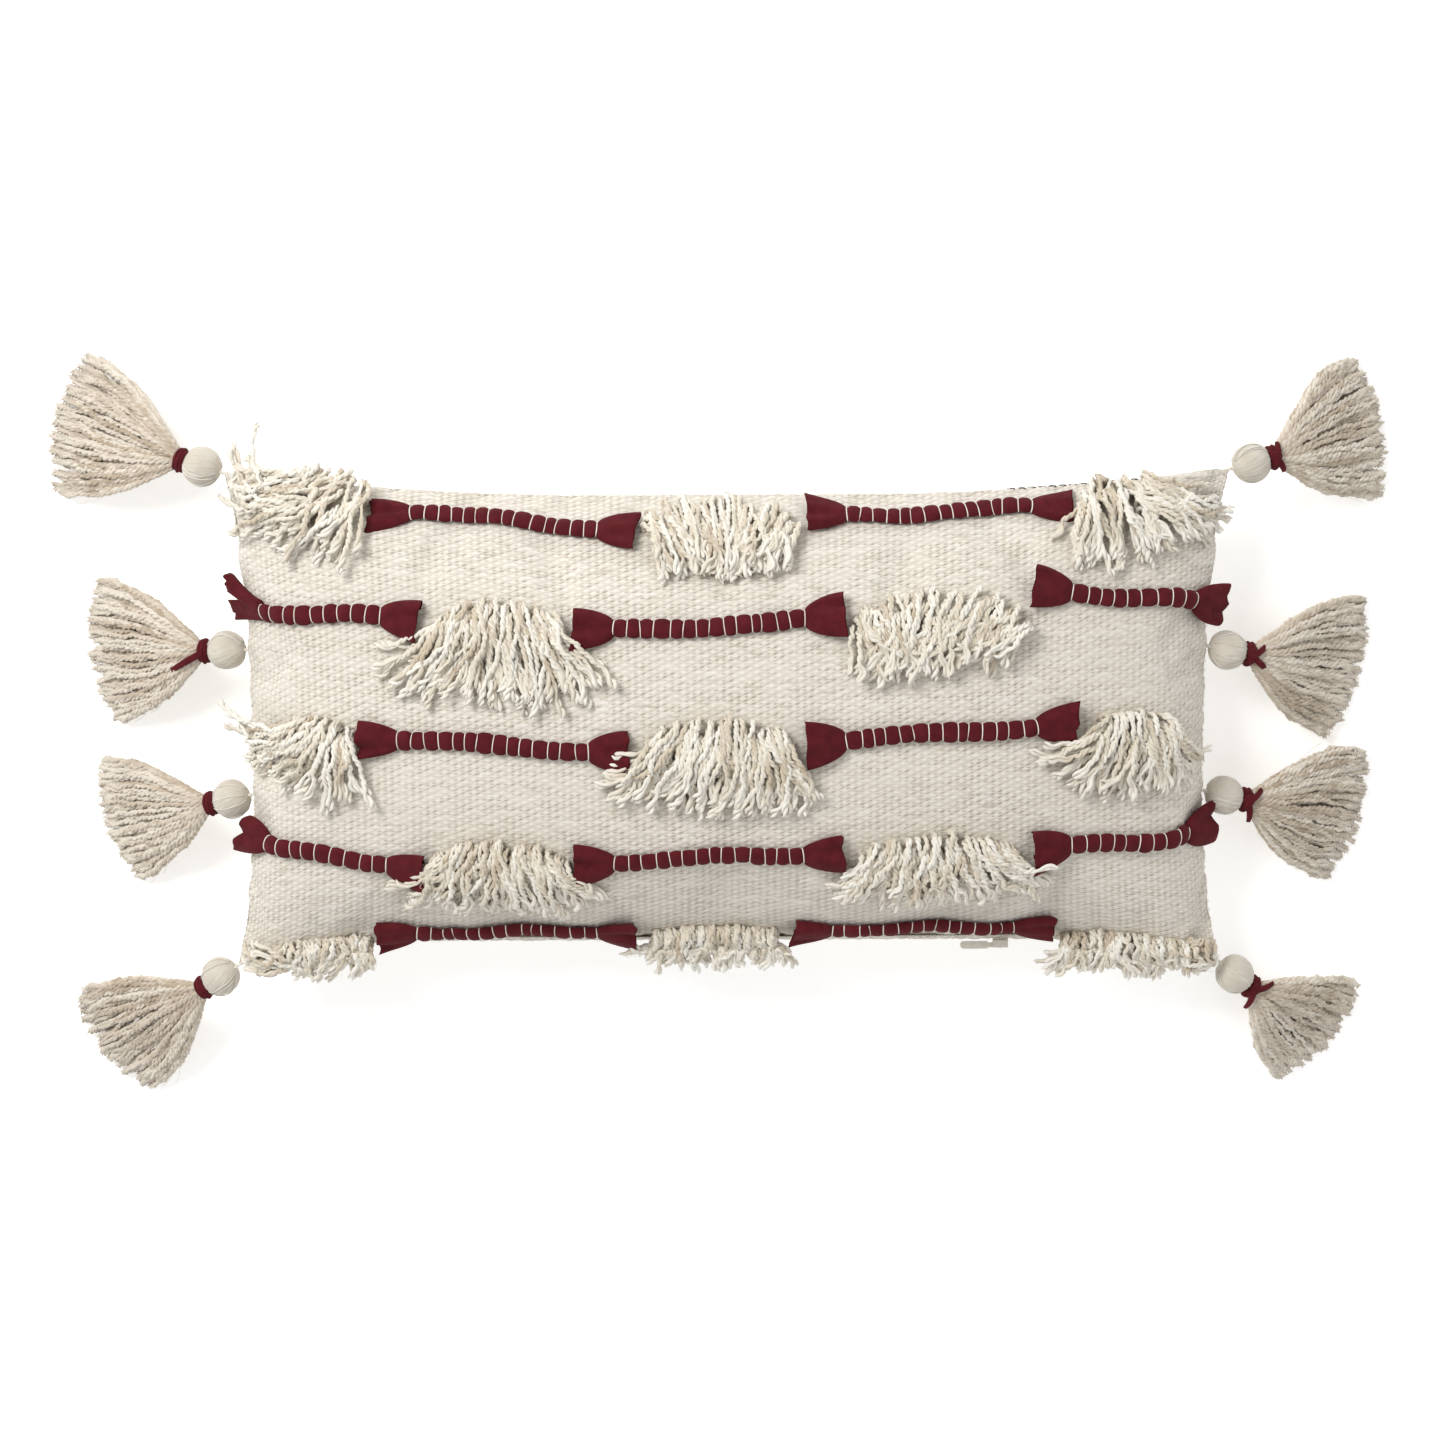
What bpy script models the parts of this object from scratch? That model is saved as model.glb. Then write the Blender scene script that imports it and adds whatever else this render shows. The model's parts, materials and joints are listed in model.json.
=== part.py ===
"""A long lumbar throw pillow with couched cords, yarn tufts and eight tassels.

The cushion lies on its back. X runs along its length, Y up its face, Z out of
the face, and the origin is the middle of the flat patch that it rests on.
All values are metres and radians unless their name says otherwise.
"""

import bmesh
import bpy
from math import atan2, cos, pi, radians, sin, sqrt
from mathutils import Vector

# ---- cushion, stuffed ----
HALF_LENGTH = 0.2933  # centre to side seam at the corners
HALF_HEIGHT = 0.1480  # centre to top or bottom seam at the corners
SIDE_PULL = 0.0118  # how far each side seam draws in between its corners
TOP_PULL = 0.0134  # the same for the top seam
BOTTOM_PULL = 0.0145  # the same for the bottom seam
TOP_STRAIGHT = 0.30  # share of the top seam that stays straight
BOTTOM_STRAIGHT = 0.62  # share of the bottom seam that the zipper keeps straight
CORNER_CURVE = 1.7  # exponent with which a seam swings out to its corner
SIDE_CURVE = 3.0
CROWN_FRONT = 0.067  # height of the face above the seam
CROWN_BACK = 0.062  # depth of the free back below the seam
SEAM_HEIGHT = 0.048  # seam above the surface that the cushion lies on
REST_BLEND = 0.005  # rounding between the back and its flat rest patch

# ---- layers ----
PANEL_WALL = 0.0022  # woven face or back cloth
TICKING_WALL = 0.0010  # cotton skin of the insert
FIT_GAP = 0.0003  # between touching pieces
INSERT_EDGE_ROOM = 0.0062  # slack between the cover's seam and the insert's

# grid lines of the cushion's surfaces, as shares of a quarter turn
LENGTH_LINES = (0.0, 0.13, 0.27, 0.40, 0.54, 0.68, 0.82, 0.93, 1.0)
HEIGHT_LINES = (0.0, 0.24, 0.47, 0.69, 0.895, 1.0)

# ---- zipper in the bottom seam ----
ZIPPER_END_LINE = 0.40  # a length line: the zipper runs between -line and +line
ZIPPER_SLIT = 0.0018  # opening that the slider's neck runs in
TAPE_WALL = 0.0005
TEETH_DEPTH = 0.0016
TEETH_HEIGHT = 0.0018
SLIDER_LENGTH = 0.0090
SLIDER_WALL = 0.0009
SLIDER_NECK = 0.0012
SLIDER_PLATE_HALF = 0.0026  # half the height of the slider's outer plate
EAR_WALL = 0.0007
EAR_REACH = 0.0036  # from the outer plate to the ears' ends
PULL_PIN_RADIUS = 0.00045
PULL_PIN_OUT = 0.0025  # pin's axis from the outer plate
PULL_EYE_RADIUS = 0.0018
PULL_BORE_RADIUS = 0.00075
PULL_THICKNESS = 0.0016
PULL_LENGTH = 0.0240
PULL_NECK_LENGTH = 0.0070
PULL_NECK_HALF = 0.0013
PULL_TAB_HALF = 0.0022
SLIDER_PARK = 0.0100  # slider's middle from the zipper's closed end

# ---- cords couched to the face ----
ROW_ANGLES = {2: 1.14, 1: 0.52, 0: 0.0, -1: -0.53, -2: -1.18}  # 2 is the top row
COLUMN_ANGLES = (-1.02, -0.45, 0.0, 0.45, 1.02)
CORD_LENGTH = 0.154
EDGE_CORD_LENGTH = 0.118
EDGE_CORD_OVERHANG = 0.008  # cut end that stands out past the side seam
CORD_HALF_WIDTH = 0.0056
CORD_THICKNESS = 0.0060
CORD_FLARE = 0.0046  # extra half width at a cut end that lies on the face
CORD_FLARE_LENGTH = 0.020
CORD_STATIONS = 10
CORD_SIDES = 6
EDGE_LEAVE_LINE = 0.86  # share of a quarter turn where a piece leaves the face
EDGE_DROP = 0.25  # slope of a piece past that line
EDGE_LEVEL = 0.7  # how far its own up direction turns level there

# name: row, column, shift along X, shift along Y, rise to +X
CORDS = {
    "cord_top_left": (2, 1, -0.002, 0.000, -0.011),
    "cord_top_right": (2, 3, -0.004, 0.002, 0.005),
    "cord_upper_left": (1, 0, 0.000, -0.003, 0.001),
    "cord_upper_centre": (1, 2, -0.010, -0.001, 0.008),
    "cord_upper_right": (1, 4, 0.000, 0.003, -0.013),
    "cord_middle_left": (0, 1, -0.010, -0.001, -0.006),
    "cord_middle_right": (0, 3, -0.002, 0.005, 0.007),
    "cord_lower_left": (-1, 0, 0.000, 0.003, -0.011),
    "cord_lower_centre": (-1, 2, -0.011, 0.001, 0.007),
    "cord_lower_right": (-1, 4, 0.000, 0.007, 0.000),
    "cord_bottom_left": (-2, 1, -0.004, 0.000, 0.004),
    "cord_bottom_right": (-2, 3, -0.012, 0.003, 0.000),
}

# ---- yarn tufts knotted between the cords ----
TUFT_ROOM = 0.0015  # between a tuft and the cords beside it
TUFT_EDGE_ROOM = 0.004  # between a tuft and the side seam
TUFT_ABOVE = 0.014  # above its row
TUFT_BELOW = 0.044  # below its row
TOP_TUFT_BELOW = 0.034  # the top row's yarn lies flatter and ends sooner
TUFT_HEIGHT = 0.0085
TUFT_RIM = 0.0016
TUFT_GAP = 0.0006  # under a tuft, whose flat cells bridge the curved face
TUFT_CELLS = (6, 4)
OUTER_TUFT_CELLS = (9, 8)  # finer, because the face turns down under them
BOTTOM_TUFT_REACH = 0.022  # bottom row's yarn past the bottom seam

# ---- tassels ----
HANGER_RADIUS = 0.0012  # half the thickness of the hanging loop
HANGER_OUT = 0.0015  # pivot, out from the seam
HEAD_RADIUS = 0.0110
HEAD_DROOP = radians(14)
NECK_RADIUS = 0.0048
BAND_LENGTH = 0.0064
BAND_WALL = 0.0020
BAND_PLAY = 0.0006  # between the band and the head, and the band and the skirt
KNOT_BULGE = 0.0022  # extra radius of the band over its knot
SKIRT_THICKNESS = 0.0130
TIP_THICKNESS = 0.0050
TIP_LIFT = 0.0004  # tips above the surface that the cushion lies on
TIP_SLOPE = radians(10)
TASSEL_SIDES = 10
TASSEL_OFFSET = 0.0435  # inner tassels, from the middle of their side seam

# name: side, place up the seam, plan angle from +X, reach past the pivot, tip width
TASSELS = {
    "tassel_left_1": (-1, 1, 165, 0.106, 0.088),
    "tassel_left_2": (-1, 0.5, 184, 0.098, 0.088),
    "tassel_left_3": (-1, -0.5, 195, 0.096, 0.076),
    "tassel_left_4": (-1, -1, 215, 0.109, 0.078),
    "tassel_right_1": (1, 1, 13, 0.096, 0.088),
    "tassel_right_2": (1, 0.5, -13, 0.099, 0.088),
    "tassel_right_3": (1, -0.5, -15, 0.102, 0.086),
    "tassel_right_4": (1, -1, -40, 0.095, 0.076),
}
KNOTTED_SIDE = 1  # the right-hand bands are knotted, the left-hand ones are wound

# ---- finishes: colour, roughness, metallic ----
FINISHES = {
    "woven_cotton": ((0.78, 0.75, 0.69), 0.90, 0.0),
    "maroon_jersey": ((0.115, 0.014, 0.020), 0.85, 0.0),
    "cotton_yarn": ((0.76, 0.70, 0.60), 0.92, 0.0),
    "ticking": ((0.80, 0.79, 0.75), 0.85, 0.0),
    "polyester_fibre": ((0.86, 0.86, 0.85), 0.95, 0.0),
    "zipper_tape": ((0.72, 0.69, 0.61), 0.80, 0.0),
    "zipper_nylon": ((0.74, 0.71, 0.64), 0.45, 0.0),
    "zipper_metal": ((0.72, 0.69, 0.60), 0.40, 0.0),
}

QUARTER = pi / 2
SAME = 1e-6  # angles closer than this are the same grid line
EMPTY_SIZE = 0.01
SHARP_EDGE = radians(40)


# ------------------------------------------------------------------ helpers


def clear_scene():
    for obj in list(bpy.data.objects):
        bpy.data.objects.remove(obj, do_unlink=True)


def make_materials():
    made = {}
    for name, (colour, roughness, metallic) in FINISHES.items():
        material = bpy.data.materials.new(name)
        material.use_nodes = True
        shader = material.node_tree.nodes["Principled BSDF"]
        shader.inputs["Base Color"].default_value = (*colour, 1.0)
        shader.inputs["Roughness"].default_value = roughness
        shader.inputs["Metallic"].default_value = metallic
        made[name] = material
    return made


def make_object(name, bm, material, origin=Vector(), parent=None):
    """Turns a closed bmesh into a named object whose origin is the given point."""
    bmesh.ops.recalc_face_normals(bm, faces=bm.faces)
    if bm.calc_volume(signed=True) < 0:
        bmesh.ops.reverse_faces(bm, faces=bm.faces)
    if origin.length:
        bmesh.ops.translate(bm, verts=bm.verts, vec=-origin)
    mesh = bpy.data.meshes.new(name)
    bm.to_mesh(mesh)
    bm.free()
    mesh.materials.append(material)
    mesh.shade_smooth()
    mesh.set_sharp_from_angle(angle=SHARP_EDGE)
    obj = bpy.data.objects.new(name, mesh)
    obj.location = origin
    obj.parent = parent
    bpy.context.scene.collection.objects.link(obj)
    return obj


def make_empty(name, location, turn):
    empty = bpy.data.objects.new(name, None)
    empty.empty_display_size = EMPTY_SIZE
    empty.location = location
    empty.rotation_euler.z = turn
    bpy.context.scene.collection.objects.link(empty)
    return empty


def symmetric(lines):
    """Both halves of a row of grid lines, as angles from -90 to +90 degrees."""
    return [-QUARTER * share for share in reversed(lines[1:])] + [QUARTER * share for share in lines]


def add_points(bm, grid):
    return [[bm.verts.new(point) for point in row] for row in grid]


def skin(bm, grid):
    for near, far in zip(grid, grid[1:]):
        for k in range(len(near) - 1):
            bm.faces.new((near[k], far[k], far[k + 1], near[k + 1]))


def border(grid):
    """A grid's outer points, once round."""
    top = grid[0]
    right = [row[-1] for row in grid[1:]]
    bottom = grid[-1][-2::-1]
    left = [row[0] for row in grid[-2:0:-1]]
    return top + right + bottom + left


def bridge(bm, ring_a, ring_b):
    count = len(ring_a)
    for k in range(count):
        bm.faces.new((ring_a[k], ring_a[(k + 1) % count], ring_b[(k + 1) % count], ring_b[k]))


def slab(outer, inner):
    """A closed body between two grids of points of the same size."""
    bm = bmesh.new()
    outer_verts = add_points(bm, outer)
    inner_verts = add_points(bm, inner)
    skin(bm, outer_verts)
    skin(bm, inner_verts)
    bridge(bm, border(outer_verts), border(inner_verts))
    return bm


def loft(rings, start_pole=None, end_pole=None):
    """A closed body through rings of points, closed by a pole or a flat face."""
    bm = bmesh.new()
    made = add_points(bm, rings)
    for near, far in zip(made, made[1:]):
        bridge(bm, near, far)
    for ring, pole in ((made[0], start_pole), (made[-1], end_pole)):
        if pole is None:
            bm.faces.new(ring)
            continue
        tip = bm.verts.new(pole)
        for k in range(len(ring)):
            bm.faces.new((ring[k], ring[(k + 1) % len(ring)], tip))
    return bm


def prism(outline, direction):
    """A closed body: a flat outline of points drawn out along a vector."""
    bm = bmesh.new()
    base = [bm.verts.new(point) for point in outline]
    far = [bm.verts.new(point + direction) for point in outline]
    bm.faces.new(base)
    bm.faces.new(far)
    bridge(bm, base, far)
    return bm


# ------------------------------------------------------ the cushion's surface


def swing(share, straight, curve):
    """0 along a seam's straight middle, rising to 1 at its corners."""
    past = (abs(share) - straight) / (1 - straight)
    return past**curve if past > 0 else 0.0


def seam_x(v):
    """The side seam's distance from the middle, at height share v."""
    return HALF_LENGTH - SIDE_PULL * (1 - abs(v) ** SIDE_CURVE)


def seam_y(u, up):
    """The top or bottom seam's distance from the middle, at length share u."""
    if up:
        return HALF_HEIGHT - TOP_PULL * (1 - swing(u, TOP_STRAIGHT, CORNER_CURVE))
    return HALF_HEIGHT - BOTTOM_PULL * (1 - swing(u, BOTTOM_STRAIGHT, CORNER_CURVE))


def on_floor(z, floor):
    """Keeps a height above the rest plane, rounding in over REST_BLEND."""
    over = z - floor
    if over >= REST_BLEND:
        return z
    if over <= -REST_BLEND:
        return floor
    return floor + (over + REST_BLEND) ** 2 / (4 * REST_BLEND)


def surface(a, b, front=True, edge_inset=0.0, crown_inset=0.0, lift=0.0):
    """A point of the cushion: a and b are the crown angles along X and along Y.

    edge_inset and crown_inset give the layers inside the cover, and lift opens
    the seam between the face and the back.
    """
    u, v = sin(a), sin(b)
    x = u * (seam_x(v) - edge_inset)
    y = v * (seam_y(u, v > 0) - edge_inset)
    bulge = cos(a) * cos(b)
    if front:
        return Vector((x, y, SEAM_HEIGHT + lift + (CROWN_FRONT - crown_inset) * bulge))
    free = SEAM_HEIGHT - lift - (CROWN_BACK - crown_inset) * bulge
    return Vector((x, y, on_floor(free, crown_inset)))


def face_normal(a, b):
    step = 1e-4
    along = surface(a + step, b) - surface(a - step, b)
    up = surface(a, b + step) - surface(a, b - step)
    return along.cross(up).normalized()


def even_lift(a, b):
    """Half the gap between two layers that only touch."""
    return FIT_GAP / 2


def no_lift(a, b):
    return 0.0


def seam_lift(a, b):
    """Half the gap between face and back: wider where the zipper runs."""
    in_zipper = b < SAME - QUARTER and abs(a) < QUARTER * ZIPPER_END_LINE + SAME
    return ZIPPER_SLIT / 2 if in_zipper else FIT_GAP / 2


def layer(front, edge_inset, crown_inset, lift=seam_lift):
    """Grid of one layer's points."""
    angles_b = symmetric(HEIGHT_LINES)
    return [
        [surface(a, b, front, edge_inset, crown_inset, lift(a, b)) for b in angles_b]
        for a in symmetric(LENGTH_LINES)
    ]


# ------------------------------------------------------------ cover and insert


def make_panels(finish):
    for name, front in (("front_panel", True), ("back_panel", False)):
        outer = layer(front, 0.0, 0.0)
        inner = layer(front, PANEL_WALL, PANEL_WALL)
        make_object(name, slab(outer, inner), finish["woven_cotton"])


def insert_insets():
    """Edge and crown inset of the insert's outside."""
    return PANEL_WALL + INSERT_EDGE_ROOM, PANEL_WALL + FIT_GAP


def make_insert(finish):
    edge, crown = insert_insets()
    for name, front in (("insert_front", True), ("insert_back", False)):
        outer = layer(front, edge, crown, even_lift)
        inner = layer(front, edge + TICKING_WALL, crown + TICKING_WALL, even_lift)
        make_object(name, slab(outer, inner), finish["ticking"])


def make_fill(finish):
    """One soft body: the upper and the lower surface share their rim."""
    edge, crown = (inset + TICKING_WALL + FIT_GAP for inset in insert_insets())
    bm = bmesh.new()
    upper = add_points(bm, layer(True, edge, crown, no_lift))
    lower_points = layer(False, edge, crown, no_lift)
    last_a, last_b = len(upper) - 1, len(upper[0]) - 1
    lower = [
        [
            upper[i][k] if i in (0, last_a) or k in (0, last_b) else bm.verts.new(lower_points[i][k])
            for k in range(last_b + 1)
        ]
        for i in range(last_a + 1)
    ]
    skin(bm, upper)
    skin(bm, lower)
    make_object("fill", bm, finish["polyester_fibre"])


# ---------------------------------------------------------------- zipper


def zipper_y(depth):
    """Y of a plane at a depth inside the bottom seam's straight stretch."""
    return -(seam_y(0.0, False) - depth)


def zipper_half_length():
    return sin(QUARTER * ZIPPER_END_LINE) * seam_x(1.0)


def tape_depth():
    return PANEL_WALL + FIT_GAP


def inside_tape(height):
    """Depth that clears a tape, which leans in with the cover, up to a height over the slit."""
    b = QUARTER * HEIGHT_LINES[-2]
    rise = (min(CROWN_FRONT, CROWN_BACK) - tape_depth()) * cos(b)
    lean = height * seam_y(0.0, False) * (1 - sin(b)) / rise
    return tape_depth() + TAPE_WALL + FIT_GAP + lean


def teeth_depth():
    return inside_tape(TEETH_HEIGHT)


def slider_depth():
    """Depth of the slider's inner plate."""
    return teeth_depth() + TEETH_DEPTH + FIT_GAP


def make_tapes(finish):
    """Each tape backs the cover's first strip of cloth beside the seam."""
    angles_a = [a for a in symmetric(LENGTH_LINES) if abs(a) < QUARTER * ZIPPER_END_LINE + SAME]
    angles_b = symmetric(HEIGHT_LINES)[:2]
    for name, front in (("zipper_tape_front", True), ("zipper_tape_back", False)):
        outer, inner = (
            [[surface(a, b, front, depth, depth, seam_lift(a, b)) for b in angles_b] for a in angles_a]
            for depth in (tape_depth(), tape_depth() + TAPE_WALL)
        )
        make_object(name, slab(outer, inner), finish["zipper_tape"])


def make_teeth(finish):
    half = zipper_half_length()
    near, far = zipper_y(teeth_depth()), zipper_y(teeth_depth() + TEETH_DEPTH)
    for name, side in (("zipper_teeth_front", 1), ("zipper_teeth_back", -1)):
        low = SEAM_HEIGHT + side * ZIPPER_SLIT / 2
        high = low + side * TEETH_HEIGHT
        outline = [Vector((-half, y, z)) for y, z in ((near, low), (far, low), (far, high), (near, high))]
        bm = prism(outline, Vector((2 * half, 0, 0)))
        make_object(name, bm, finish["zipper_nylon"], Vector((0, near, SEAM_HEIGHT)))


def slider_outline():
    """The slider seen along the zipper, as (depth, height) points."""
    inner = slider_depth()
    back = inner + SLIDER_WALL
    roof = ZIPPER_SLIT / 2 + TEETH_HEIGHT + FIT_GAP
    top = roof + SLIDER_WALL
    flange = inside_tape(top)
    neck = SLIDER_NECK / 2
    plate_in = -FIT_GAP
    plate_out = plate_in - SLIDER_WALL
    ear_end = plate_out - EAR_REACH
    ear_in = SLIDER_PLATE_HALF - EAR_WALL
    upper = [
        (back, top),
        (flange, top),
        (flange, roof),
        (inner, roof),
        (inner, neck),
        (plate_in, neck),
        (plate_in, SLIDER_PLATE_HALF),
        (ear_end, SLIDER_PLATE_HALF),
        (ear_end, ear_in),
        (plate_out, ear_in),
    ]
    return upper + [(depth, -height) for depth, height in reversed(upper)]


def slider_place():
    return Vector((zipper_half_length() - SLIDER_PARK, zipper_y(0.0), SEAM_HEIGHT))


def pull_pivot():
    out = FIT_GAP + SLIDER_WALL + PULL_PIN_OUT
    return slider_place() - Vector((0, out, 0))


def cylinder_along_z(name, centre, radius, height, sides=12):
    bm = bmesh.new()
    bmesh.ops.create_cone(bm, cap_ends=True, segments=sides, radius1=radius, radius2=radius, depth=height)
    bmesh.ops.translate(bm, verts=bm.verts, vec=centre)
    mesh = bpy.data.meshes.new(name)
    bm.to_mesh(mesh)
    bm.free()
    guide = bpy.data.objects.new(name, mesh)
    guide.hide_render = True
    guide.display_type = "WIRE"
    bpy.context.scene.collection.objects.link(guide)
    return guide


def add_boolean(obj, other, operation):
    modifier = obj.modifiers.new(operation.lower(), "BOOLEAN")
    modifier.operation = operation
    modifier.object = other
    modifier.solver = "EXACT"


def make_slider(finish):
    place = slider_place()
    outline = [
        place + Vector((-SLIDER_LENGTH / 2, depth, height)) for depth, height in slider_outline()
    ]
    bm = prism(outline, Vector((SLIDER_LENGTH, 0, 0)))
    slider = make_object("zipper_slider", bm, finish["zipper_metal"], place)
    pin_height = 2 * SLIDER_PLATE_HALF - EAR_WALL
    pin = cylinder_along_z("guide_slider_pin", pull_pivot(), PULL_PIN_RADIUS, pin_height)
    add_boolean(slider, pin, "UNION")
    make_pull(finish)


def make_pull(finish):
    """The tab lies back along -X from its eye, which turns on the slider's pin."""
    pivot = pull_pivot()
    eye_steps = 12
    open_angle = atan2(PULL_NECK_HALF, sqrt(PULL_EYE_RADIUS**2 - PULL_NECK_HALF**2))
    outline = []
    for k in range(eye_steps + 1):
        turn = pi - open_angle - k * (2 * pi - 2 * open_angle) / eye_steps
        outline.append((PULL_EYE_RADIUS * cos(turn), PULL_EYE_RADIUS * sin(turn)))
    shoulder = PULL_NECK_LENGTH + PULL_TAB_HALF - PULL_NECK_HALF
    outline.append((-PULL_NECK_LENGTH, -PULL_NECK_HALF))
    outline.append((-shoulder, -PULL_TAB_HALF))
    end_steps = 8
    for k in range(end_steps + 1):
        turn = -QUARTER - k * pi / end_steps
        outline.append((-PULL_LENGTH + PULL_TAB_HALF + PULL_TAB_HALF * cos(turn), PULL_TAB_HALF * sin(turn)))
    outline.append((-shoulder, PULL_TAB_HALF))
    outline.append((-PULL_NECK_LENGTH, PULL_NECK_HALF))
    low = pivot - Vector((0, 0, PULL_THICKNESS / 2))
    bm = prism([low + Vector((x, y, 0)) for x, y in outline], Vector((0, 0, PULL_THICKNESS)))
    pull = make_object("zipper_pull", bm, finish["zipper_metal"], pivot)
    bore = cylinder_along_z("guide_pull_bore", pivot, PULL_BORE_RADIUS, 3 * PULL_THICKNESS, 16)
    add_boolean(pull, bore, "DIFFERENCE")


# ---------------------------------------------------------- cords and tufts


def angle_at_x(x, b):
    """Crown angle along X of a plan place on the row at angle b."""
    share = max(-1.0, min(1.0, x / seam_x(sin(b))))
    return atan2(share, sqrt(max(0.0, 1 - share * share)))


def angle_at_y(y, a):
    share = max(-1.0, min(1.0, y / seam_y(sin(a), y > 0)))
    return atan2(share, sqrt(max(0.0, 1 - share * share)))


def over_face(x, y, height):
    """A point at a height over the face, and past a seam over its straight run-out."""
    b = angle_at_y(y, 0.0)
    for _ in range(4):
        a = angle_at_x(x, b)
        b = angle_at_y(y, a)
    leave = QUARTER * EDGE_LEAVE_LINE
    held_a = max(-leave, min(leave, a))
    held_b = max(-leave, min(leave, b))
    base = surface(held_a, held_b)
    normal = face_normal(held_a, held_b)
    past = Vector((x - base.x, y - base.y, 0)) if (held_a, held_b) != (a, b) else Vector()
    if past.length > 0:
        base = base + past - Vector((0, 0, EDGE_DROP * past.length))
        normal = normal.lerp(Vector((0, 0, 1)), EDGE_LEVEL).normalized()
    return base + normal * height, normal


def cord_ends(name):
    """Plan places of a cord's left and right ends."""
    row, column, shift_x, shift_y, rise = CORDS[name]
    b = ROW_ANGLES[row]
    a = COLUMN_ANGLES[column]
    middle_y = surface(a, b).y + shift_y
    if column in (0, 4):
        side = -1 if column == 0 else 1
        outer = side * (seam_x(sin(b)) + EDGE_CORD_OVERHANG)
        inner = outer - side * EDGE_CORD_LENGTH
        left, right = min(outer, inner), max(outer, inner)
    else:
        middle_x = surface(a, b).x + shift_x
        left, right = middle_x - CORD_LENGTH / 2, middle_x + CORD_LENGTH / 2
    return Vector((left, middle_y - rise / 2, 0)), Vector((right, middle_y + rise / 2, 0))


def make_cord(name, finish):
    """A rounded strip with cut ends that open out, lying on the face."""
    left, right = cord_ends(name)
    length = (right - left).length
    across = Vector((-(right - left).y, (right - left).x, 0)).normalized()
    column = CORDS[name][1]
    rings = []
    for k in range(CORD_STATIONS + 1):
        # stations close up towards the cut ends
        share = 0.5 - 0.5 * cos(pi * k / CORD_STATIONS)
        plan = left.lerp(right, share)
        from_end = min(share, 1 - share) * length
        overhangs = column == 0 and share < 0.5 or column == 4 and share > 0.5
        flare = 0.0 if overhangs else max(0.0, 1 - from_end / CORD_FLARE_LENGTH) ** 1.5
        _, normal = over_face(plan.x, plan.y, 0.0)
        half_width = (CORD_HALF_WIDTH + CORD_FLARE * flare) * normal.z
        ring = []
        for m in range(CORD_SIDES):
            turn = 2 * pi * (m + 0.5) / CORD_SIDES
            offset = across * (half_width * cos(turn) / cos(pi / CORD_SIDES))
            height = FIT_GAP + CORD_THICKNESS * (0.5 + 0.5 * sin(turn))
            ring.append(over_face(plan.x + offset.x, plan.y + offset.y, height)[0])
        rings.append(ring)
    origin, _ = over_face((left.x + right.x) / 2, (left.y + right.y) / 2, 0.0)
    make_object(name, loft(rings), finish["maroon_jersey"], origin)


def row_stops(row):
    """The stretches of a row that its cords leave free, from left to right."""
    ends = sorted((cord_ends(name)[0].x, cord_ends(name)[1].x) for name in CORDS if CORDS[name][0] == row)
    edge = seam_x(sin(ROW_ANGLES[row])) - TUFT_EDGE_ROOM
    stops = [-edge] + [x + side for pair in ends for x, side in zip(pair, (-TUFT_ROOM, TUFT_ROOM))] + [edge]
    stretches = list(zip(stops[0::2], stops[1::2]))
    return [pair for pair in stretches if pair[1] - pair[0] > TUFT_ABOVE]


def cord_band(row, left, right):
    """The lowest and the highest Y that a row's cords take up between two X places."""
    if row not in ROW_ANGLES:
        return HALF_HEIGHT, -HALF_HEIGHT
    tilt = face_normal(0.0, ROW_ANGLES[row]).z
    reach = (CORD_HALF_WIDTH + CORD_FLARE) * tilt + CORD_THICKNESS * (1 - tilt) + TUFT_ROOM
    heights = []
    for name in CORDS:
        start, end = cord_ends(name)
        if CORDS[name][0] == row and start.x < right and end.x > left:
            heights += [start.y, end.y]
    return (min(heights) - reach, max(heights) + reach) if heights else (HALF_HEIGHT, -HALF_HEIGHT)


TUFT_ROWS = {
    2: ("tuft_top_left", "tuft_top_centre", "tuft_top_right"),
    1: ("tuft_upper_left", "tuft_upper_right"),
    0: ("tuft_middle_left", "tuft_middle_centre", "tuft_middle_right"),
    -1: ("tuft_lower_left", "tuft_lower_right"),
    -2: ("tuft_bottom_left", "tuft_bottom_centre", "tuft_bottom_right"),
}


def make_tuft(name, left, right, row, finish):
    """A low mound of yarn whose underside follows the face."""
    across, down = OUTER_TUFT_CELLS if abs(row) == 2 else TUFT_CELLS
    row_y = surface(0.0, ROW_ANGLES[row]).y
    below = TOP_TUFT_BELOW if row == 2 else TUFT_BELOW
    high = min(row_y + TUFT_ABOVE, cord_band(row + 1, left, right)[0])
    low = max(row_y - below, cord_band(row - 1, left, right)[1])
    if row == 2:
        high = min(high, seam_y(0.0, True) * sin(QUARTER * EDGE_LEAVE_LINE))
    if row == -2:
        low = -(seam_y(0.0, False) + BOTTOM_TUFT_REACH)
    under, over = [], []
    for i in range(across + 1):
        s = 2 * i / across - 1
        x = left + (right - left) * i / across
        lower_row, upper_row = [], []
        for k in range(down + 1):
            t = 2 * k / down - 1
            y = low + (high - low) * k / down
            dome = (1 - s**4) * (1 - t**4)
            lower_row.append(over_face(x, y, TUFT_GAP)[0])
            upper_row.append(over_face(x, y, TUFT_GAP + TUFT_RIM + (TUFT_HEIGHT - TUFT_RIM) * dome)[0])
        under.append(lower_row)
        over.append(upper_row)
    origin, _ = over_face((left + right) / 2, row_y, 0.0)
    make_object(name, slab(over, under), finish["cotton_yarn"], origin)


def make_tufts(finish):
    for row, names in TUFT_ROWS.items():
        for name, (left, right) in zip(names, row_stops(row)):
            make_tuft(name, left, right, row, finish)


# ------------------------------------------------------------------ tassels


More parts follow.
